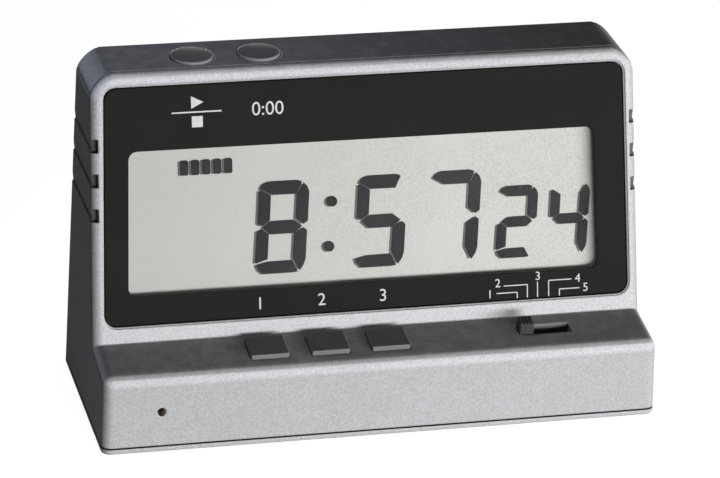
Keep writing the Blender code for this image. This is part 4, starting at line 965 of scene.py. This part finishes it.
FINISH_OF_SLOT = {
    "front_case": HOUSING,
    # The rear shell's front seam gives the painted shade that shows through the notches.
    "rear_shell": SilverPlastic("silver rear shell plastic", srgb(196, 196, 199), 0.36,
                                edge_radius=0.0013, front_seam=-2.56),
    "base_plate": HOUSING,
    "door": HOUSING,
    "window_panel": WINDOW_BLACK,
    "display_glass": DisplayGround("display ground", srgb(229, 227, 221), 0.45),
    "display_reflector": Metal("reflector film", srgb(206, 206, 200), 0.5),
    "display_holder": PlainPlastic("holder black plastic", srgb(28, 28, 28), 0.6),
    "contact_strip": Rubber("striped contact rubber", srgb(74, 74, 80), 0.75),
    "board": Lacquer("green circuit board", srgb(38, 98, 52), 0.4),
    "chip": PlainPlastic("resin over the controller", srgb(18, 18, 18), 0.3,
                         grain_height=0.00003, coat=0.2),
    "crystal": Metal("crystal can steel", srgb(196, 196, 196), 0.25),
    "trimmer": BRASS,
    "screw": Metal("plated screw steel", srgb(178, 178, 176), 0.34),
    # Buttons, keys and the knob: painted shade on their tops, and edges worn paler and partly
    # painted lighter as a highlight.
    "button": PlainPlastic("grey button plastic", srgb(150, 149, 151), 0.42, film=0.85,
                           edge_radius=0.0005, wear_and_highlight=0.15, gloss=0.03,
                           wear_and_highlight_colour=srgb(176, 176, 178)),
    "key": PlainPlastic("grey key plastic", srgb(136, 135, 133), 0.45, film=0.74,
                        wear_and_highlight=0.8, gloss=0.03, wear_and_highlight_colour=srgb(205, 205, 205)),
    "contact_pad": Rubber("contact pad rubber", srgb(34, 34, 34), 0.8),
    # The knob is painted pale below the shelf's surface, a painted light in the switch's slot.
    "knob": PlainPlastic("dark grey knob plastic", srgb(76, 75, 71), 0.45, film=0.5,
                         edge_radius=0.0002, wear_and_highlight=0.6, gloss=0.06,
                         wear_and_highlight_colour=srgb(150, 150, 148), sunk_light=srgb(205, 204, 202)),
    "wiper": BRASS,
    "sounder_disc": BRASS,
    "sounder_cup": PlainPlastic("sounder cup plastic", srgb(24, 24, 24), 0.55),
    "cell": CellJacket("cell jacket", srgb(38, 40, 46), 0.32),
    "contact": Metal("nickel contact", srgb(204, 202, 194), 0.2),
    "foot": Rubber("foot rubber", srgb(28, 28, 29), 0.85),
    "lead_red": PlainPlastic("red lead", srgb(164, 28, 26), 0.4, edge_radius=0.0004),
    "lead_black": PlainPlastic("black lead", srgb(24, 24, 25), 0.4, edge_radius=0.0004),
    "ribbon": PlainPlastic("grey ribbon", srgb(168, 168, 166), 0.45),
}


# ---------------- carried solids

@dataclass
class Solids:
    """The solid model's own nodes, each given the finish of its material slot."""

    nodes: dict[str, bpy.types.Object]
    record: dict

    def build(self) -> None:
        """Give every node its finish."""
        for part in self.record["subparts"]:
            finish = FINISH_OF_SLOT[part["material_slot"]]
            for slot in self.nodes[part["node"]].material_slots:
                slot.material = finish.material()
            log.info("node %s: %s", part["node"], finish.name)


# ---------------- front case

@dataclass
class FrontCase:
    """Front case as in the solid model, with the front edge of its shelf rounded right round.

    The solid model leaves a small square ridge inside that rounding, given here by its places
    back and up. The walls inside the notches and the switch slot get a painted shade: a darker
    copy of the housing's plastic.
    """

    ridge: Pair = (-28.575, 23.845)
    ridge_reach: float = 0.03
    rounded: Pair = (-28.199, 23.490)
    notch_tops: Triple = (59.5, 49.5, 39.5)
    notch_height: float = 3.9
    notch_slack: float = 0.02
    notch_depth: float = 0.05
    notch_end: Pair = (78.2, 79.7)
    slot: tuple[Pair, Pair] = ((42.1, 58.5), (8.0, 13.0))
    slot_depth: float = 0.1
    square_on: float = 0.9

    def smooth_ridge(self, bm: BMesh) -> int:
        """Move the ridge onto the rounding.

        Args:
            bm: The case's merged mesh in metres.

        Returns:
            How many corners moved.
        """
        (back, up), (new_back, new_up) = self.ridge, self.rounded
        found = [vert for vert in bm.verts
                 if math.hypot(vert.co.y / MM - back, vert.co.z / MM - up) < self.ridge_reach]
        shift = (0.0, (new_back - back) * MM, (new_up - up) * MM)
        bmesh.ops.translate(bm, verts=found, vec=shift)
        return len(found)

    def is_inner(self, face: bmesh.types.BMFace) -> bool:
        """Tell whether a face is a wall inside a notch or inside the switch slot.

        Args:
            face: A face of the case.

        Returns:
            Whether it gets the painted shade.
        """
        middle = face.calc_center_median()
        x, along, out = SHELF.local(middle)
        if self.slot[0][0] < x < self.slot[0][1] and self.slot[1][0] < along < self.slot[1][1]:
            return out < -self.slot_depth
        x, along, out = FACE.local(middle)
        in_row = any(top - self.notch_height - self.notch_slack < along < top + self.notch_slack
                     for top in self.notch_tops)
        if not in_row or out > -self.notch_depth or abs(x) < self.notch_end[0]:
            return False
        level = abs(face.normal.dot(Vector(FACE.along))) > self.square_on
        return level or (abs(face.normal.x) > self.square_on and abs(x) < self.notch_end[1])

    def build(self) -> None:
        """Build the case from a merged copy of its solid."""
        bm = bmesh.new()
        bm.from_mesh(frame["nodes"]["front_case"].data)
        bmesh.ops.remove_doubles(bm, verts=list(bm.verts), dist=0.000001)
        moved = self.smooth_ridge(bm)
        bm.normal_update()
        dark = [face for face in bm.faces if self.is_inner(face)]
        for face in dark:
            face.material_index = 1
        log.info("front case: %d ridge corners, %d inner faces", moved, len(dark))
        made = finished("front_case_shell", bm, Matrix.Identity(4), HOUSING, "case")
        # The inner walls take the painted shade.
        made.data.materials.append(INNER_SHADE_PLASTIC.material())
        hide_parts("front_case")


# ---------------- window

@dataclass
class Window:
    """Dark window over the display: a black sheet round an opening, under a clear pane.

    Each depth is that of the back and of the front of a piece, out of the face.
    """

    rim: Outline = ((-78.2, 5.0), (78.2, 5.0), (76.6, 73.8), (-76.6, 73.8))
    rim_corner: float = 3.5
    rim_rounding: float = 0.18
    sheet_depth: Pair = (-2.0, -0.54)
    opening: Outline = ((-71.1, 13.35), (69.15, 12.9), (68.0, 55.1), (-70.0, 55.35))
    opening_corner: float = 2.4
    opening_middle: Pair = (-1.0, 34.2)
    pane_share: Triple = (0.999, 0.998, 1.0)
    pane_depth: Pair = (-1.8, -0.6)

    def sheet(self) -> None:
        """Build the black sheet."""
        bm = bmesh.new()
        rounded_face(bm, self.rim, self.rim_corner)
        rounded_face(bm, self.opening, self.opening_corner)
        bmesh.ops.delete(bm, geom=list(bm.faces), context="FACES_ONLY")
        bmesh.ops.bridge_loops(bm, edges=list(bm.edges))
        face_up(bm)
        thicken(bm, *self.sheet_depth)
        soften_rim(bm, self.sheet_depth[1], self.rim_rounding)
        made = finished("window_sheet", bm, FACE.matrix(), WINDOW_BLACK, "case")
        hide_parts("window_panel")

    def pane(self) -> None:
        """Build the clear pane, a little smaller than the sheet's opening."""
        bm = bmesh.new()
        rounded_face(bm, self.opening, self.opening_corner)
        middle = Vector((*self.opening_middle, 0.0))
        bmesh.ops.scale(bm, verts=list(bm.verts), vec=self.pane_share,
                        space=Matrix.Translation(-middle))
        thicken(bm, *self.pane_depth)
        finished("window_pane", bm, FACE.matrix(), PANE, "case")

    def build(self) -> None:
        """Build the sheet and the pane in its opening."""
        self.sheet()
        self.pane()


# ---------------- display

class Bar(Enum):
    """The seven bars of a digit, each with its letter in BARS_OF."""

    TOP = "a"
    UPPER_RIGHT = "b"
    LOWER_RIGHT = "c"
    BOTTOM = "d"
    LOWER_LEFT = "e"
    UPPER_LEFT = "f"
    MIDDLE = "g"


BARS_OF = {"2": "abged", "4": "fgbc", "5": "afgcd", "7": "abc", "8": "abcdefg"}
# The corners of each bar, clockwise, measured from the lower left of an upright digit.
CORNERS_OF = {
    Bar.TOP: ((0.2, 24.97), (1.07, 26.3), (2.44, 26.92), (11.1, 26.92), (12.43, 26.46),
              (10.97, 22.97), (3.71, 23.02)),
    Bar.UPPER_LEFT: ((0.0, 24.3), (0.72, 24.45), (3.39, 22.79), (3.42, 15.61), (1.07, 13.99),
                     (0.0, 14.75)),
    Bar.UPPER_RIGHT: ((13.06, 25.99), (14.01, 25.14), (14.7, 23.49), (14.7, 14.9),
                      (13.42, 13.95), (11.22, 15.76), (11.22, 22.74)),
    Bar.MIDDLE: ((1.52, 13.48), (3.76, 15.3), (10.63, 15.33), (13.07, 13.48), (10.83, 11.48),
                 (3.72, 11.48)),
    Bar.LOWER_LEFT: ((1.26, 13.12), (3.3, 11.44), (3.3, 4.27), (-0.2, 3.15), (-0.1, 12.4)),
    Bar.LOWER_RIGHT: ((13.65, 12.93), (14.62, 12.11), (14.6, 3.92), (14.08, 2.01),
                      (12.96, 0.36), (10.95, 4.16), (11.01, 11.26)),
    Bar.BOTTOM: ((0.09, 2.66), (3.35, 3.42), (10.52, 3.5), (12.47, 0.11), (10.92, -0.1),
                 (2.11, -0.1), (0.75, 1.16)),
}


@dataclass(frozen=True)
class Digit:
    """One seven-bar digit on the display glass, leaning by its slant."""

    number: str
    left: float
    bottom: float = 16.9
    scale: float = 1.0
    slant: float = 0.068

    def add(self, bm: BMesh, shift: Pair) -> None:
        """Add the lit bars to a mesh of flat faces.

        Args:
            bm: The mesh to add to.
            shift: Shift of the whole digit.
        """
        for key in BARS_OF[self.number]:
            outline_face(bm, [
                (self.left + (x + self.slant * y) * self.scale + shift[0],
                 self.bottom + y * self.scale + shift[1])
                for x, y in reversed(CORNERS_OF[Bar(key)])
            ])


@dataclass(frozen=True)
class Layer:
    """One thin layer of the display's drawing. Its heights are over the glass."""

    name: str
    finish: Ink
    shift: Pair
    low: float
    high: float


@dataclass
class Display:
    """What the display shows: numbers and a small mark, each over its soft shade."""

    glass_front: float = -3.70
    digits: tuple[Digit, ...] = (
        Digit("8", -33.1),
        Digit("5", -3.7),
        Digit("7", 18.46),
        Digit("2", 39.1, scale=0.792),
        Digit("4", 54.95, scale=0.792),
    )
    dots: Outline = ((-10.08, 36.97), (-11.16, 23.76))
    dot_radius: float = 1.54
    dot_steps: int = 24
    mark: tuple[Pair, Pair] = ((-54.4, 47.1), (-38.3, 51.4))
    mark_bars: int = 5
    mark_share: float = 0.68
    mark_corner: float = 0.5
    layers: tuple[Layer, ...] = (
        Layer("display_shade", SEGMENT_SHADE, (-0.95, 0.0), 0.01, 0.03),
        Layer("display_figure_edges", SEGMENT_EDGE, (-0.22, 0.16), 0.04, 0.06),
        Layer("display_figures", SEGMENT, (0.0, 0.0), 0.07, 0.10),
    )

    def add_dots(self, bm: BMesh, shift: Pair) -> None:
        """Add the two round dots between the numbers.

        Args:
            bm: The mesh to add to.
            shift: Shift of the dots.
        """
        for x, along in self.dots:
            bmesh.ops.create_circle(
                bm, cap_ends=True, segments=self.dot_steps, radius=self.dot_radius,
                matrix=Matrix.Translation((x + shift[0], along + shift[1], 0.0)))

    def add_mark(self, bm: BMesh, shift: Pair) -> None:
        """Add the small status mark above the first number: a row of plain bars.

        Args:
            bm: The mesh to add to.
            shift: Shift of the mark.
        """
        (left, low), (right, high) = self.mark
        pitch = (right - left) / self.mark_bars
        for index in range(self.mark_bars):
            start, bottom = left + index * pitch + shift[0], low + shift[1]
            end, top = start + pitch * self.mark_share, bottom + (high - low)
            corners = ((start, bottom), (end, bottom), (end, top), (start, top))
            rounded_face(bm, corners, self.mark_corner, 3)

    def build(self) -> None:
        """Build the soft shade, the black edges and the dark figures over them."""
        for layer in self.layers:
            bm = bmesh.new()
            for digit in self.digits:
                digit.add(bm, layer.shift)
            self.add_dots(bm, layer.shift)
            self.add_mark(bm, layer.shift)
            thicken(bm, self.glass_front + layer.low, self.glass_front + layer.high)
            finished(layer.name, bm, FACE.matrix(), layer.finish, "case")


# ---------------- printing

@dataclass(frozen=True)
class Marks:
    """One group of plain white marks on the window: filled areas, lines and numbers."""

    name: str
    areas: tuple[Outline, ...] = ()
    lines: tuple[Outline, ...] = ()
    line_width: float = 0.3
    numbers: tuple[tuple[str, Pair], ...] = ()
    number_height: float = 3.6
    depth: Pair = (-0.55, -0.505)

    def build(self) -> None:
        """Print the group as one thin piece."""
        bm = bmesh.new()
        for points in self.areas:
            outline_face(bm, points)
        for points in self.lines:
            for start, end in zip(points, points[1:]):
                stroke(bm, start, end, self.line_width)
        for text, centre in self.numbers:
            numerals(bm, text, centre, self.number_height)
        face_up(bm)
        thicken(bm, *self.depth)
        finished(self.name, bm, FACE.matrix(), PRINT, "case")


@dataclass
class Printing:
    """White print on the window: marks of the buttons, numbers of the keys and the switch."""

    groups: tuple[Marks, ...] = (
        Marks(
            "print_start_stop",
            areas=(((-51.6, 66.9), (-48.0, 68.7), (-51.6, 70.5)),
                   ((-51.5, 61.5), (-48.3, 61.5), (-48.3, 64.7), (-51.5, 64.7))),
            lines=(((-57.3, 65.9), (-42.8, 65.9)),),
            line_width=0.42,
        ),
        Marks("print_reset", numbers=(("0:00", (-29.3, 65.9)),), number_height=3.9),
        Marks("print_keys", numbers=(("1", (-32.7, 9.0)), ("2", (-14.4, 9.0)),
                                     ("3", (3.9, 9.0)))),
        Marks(
            "print_switch",
            lines=(((44.5, 5.3), (44.5, 7.1), (38.2, 7.1)),
                   ((47.6, 5.3), (47.6, 9.2), (40.4, 9.2)),
                   ((50.7, 5.3), (50.7, 9.8)),
                   ((54.1, 5.3), (54.1, 10.0), (61.1, 10.0)),
                   ((57.4, 5.3), (57.4, 7.2), (63.6, 7.2))),
            numbers=(("1", (36.2, 7.0)), ("2", (38.6, 10.2)), ("3", (50.8, 11.6)),
                     ("4", (63.0, 10.2)), ("5", (65.4, 7.3))),
            number_height=2.5,
        ),
    )

    def build(self) -> None:
        """Print every group."""
        for group in self.groups:
            group.build()


# ---------------- studio

def direction(azimuth: float, elevation: float) -> Vector:
    """Give the direction at an angle to the right of straight in front and one above the floor.

    Args:
        azimuth: Degrees to the right.
        elevation: Degrees above the floor.

    Returns:
        The direction, one long.
    """
    a, e = math.radians(azimuth), math.radians(elevation)
    return Vector((math.sin(a) * math.cos(e), -math.cos(a) * math.cos(e), math.sin(e)))


@dataclass(frozen=True)
class Lamp:
    """A soft rectangular lamp that looks at the object, with its angles in degrees."""

    name: str
    azimuth: float
    elevation: float
    distance: float
    size: Pair
    power: float
    colour: Triple = WHITE
    aim: Triple = (0.0, 0.0, 0.05)

    def build(self) -> None:
        """Put the lamp into the scene."""
        light = bpy.data.lights.new(self.name, "AREA")
        light.shape = "RECTANGLE"
        light.size, light.size_y = self.size
        light.energy = self.power
        light.color = self.colour
        away = direction(self.azimuth, self.elevation)
        holder = placed(self.name, light)
        holder.location = Vector(self.aim) + away * self.distance
        holder.rotation_euler = away.to_track_quat("Z", "Y").to_euler()


@dataclass
class Studio:
    """Pale floor, soft lamps and the camera at the photograph's angle.

    The floor's size is metres. Its glow is what the camera and the reflections see of it, and
    the sky's light is what falls on the object.
    """

    azimuth: float = 15.04
    elevation: float = 25.00
    roll: float = 2.8
    lens: float = 195.6
    distance: float = 1102.0
    aim: Triple = (-9.80, -30.65, 64.31)
    lamps: tuple[Lamp, ...] = (
        Lamp("front softbox", 28.0, 3.5, 1.15, (1.4, 0.22), 15.8),
        Lamp("cool top lamp", -105.0, 66.5, 0.187, (0.04, 0.05), 0.055, (0.74, 0.83, 1.0)),
        Lamp("back softbox", 172.0, 0.0, 1.6, (0.9, 0.09), 6.0),
    )
    floor_size: float = 4.0
    floor_grey: float = 0.60
    floor_glow: float = 0.95
    sky_light: float = 0.01

    def camera(self) -> None:
        """Place the camera."""
        a, e = math.radians(self.azimuth), math.radians(self.elevation)
        turn = math.radians(self.roll)
        right = Vector((math.cos(a), -math.sin(a), 0.0))
        up = Vector((math.sin(a) * math.sin(e), math.cos(a) * math.sin(e), math.cos(e)))
        back = direction(-self.azimuth, self.elevation)
        lens = bpy.data.cameras.new("camera")
        lens.lens = self.lens
        lens.sensor_width = 36.0
        lens.clip_start = 0.01
        lens.clip_end = 50.0
        holder = placed("camera", lens)
        place = Matrix((
            math.cos(turn) * right + math.sin(turn) * up,
            -math.sin(turn) * right + math.cos(turn) * up,
            back,
        )).transposed().to_4x4()
        place.translation = (Vector(self.aim) + back * self.distance) * MM
        holder.matrix_world = place
        bpy.context.scene.camera = holder

    def floor(self) -> None:
        """Lay the pale floor, which shows white and keeps the object's shadow."""
        bm = bmesh.new()
        bmesh.ops.create_grid(bm, x_segments=1, y_segments=1, size=self.floor_size)
        mesh = bpy.data.meshes.new("floor")
        bm.to_mesh(mesh)
        bm.free()
        material = bpy.data.materials.new("pale floor")
        look = Look(material)
        look.shade({
            "Base Color": (self.floor_grey,) * 3,
            "Roughness": 0.9,
            "Specular IOR Level": 0.0,
            "Emission Color": WHITE,
            "Emission Strength": look.math("MULTIPLY", self.seen(look), self.floor_glow),
        })
        mesh.materials.append(material)
        piece = placed("floor", mesh)

    @staticmethod
    def seen(recipe: Recipe) -> Socket:
        """Give 1 for camera, glossy and transmission rays, and 0 for the rest.

        Args:
            recipe: The node tree that it goes into.

        Returns:
            The value's socket.
        """
        rays = recipe.node("ShaderNodeLightPath").outputs
        shiny = recipe.math("MAXIMUM", rays["Is Glossy Ray"], rays["Is Transmission Ray"])
        return recipe.math("MAXIMUM", rays["Is Camera Ray"], shiny)

    def sky(self) -> None:
        """Set the world: white to the camera and in reflections, a low level elsewhere."""
        world = bpy.data.worlds.new("studio")
        world.use_nodes = True
        recipe = Recipe(world.node_tree)
        ground = next(n for n in world.node_tree.nodes if n.type == "BACKGROUND")
        recipe.feed(ground.inputs["Color"], WHITE)
        strength = recipe.ramp(self.seen(recipe), (0.0, 1.0), (self.sky_light, 1.0))
        recipe.feed(ground.inputs["Strength"], strength)
        bpy.context.scene.world = world

    def build(self) -> None:
        """Set up the whole studio."""
        self.camera()
        for lamp in self.lamps:
            lamp.build()
        self.floor()
        self.sky()
        bpy.context.scene.view_settings.view_transform = "Standard"


# ---------------- making

def clear_leftovers() -> None:
    """Remove whatever the empty file held before the solid model was loaded."""
    kept = set(frame["nodes"].values()) | set(frame["bodies"].values())
    for thing in list(bpy.data.objects):
        if thing not in kept and thing.type in {"MESH", "LIGHT", "CAMERA"}:
            bpy.data.objects.remove(thing)


def main() -> None:
    """Build everything in order."""
    logging.basicConfig(level=logging.INFO, format="%(message)s")
    clear_leftovers()
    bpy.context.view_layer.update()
    for part in (Studio(), Solids(frame["nodes"], frame["record"]), FrontCase(), Window(),
                 Display(), Printing()):
        part.build()


if __name__ == "__main__":
    main()
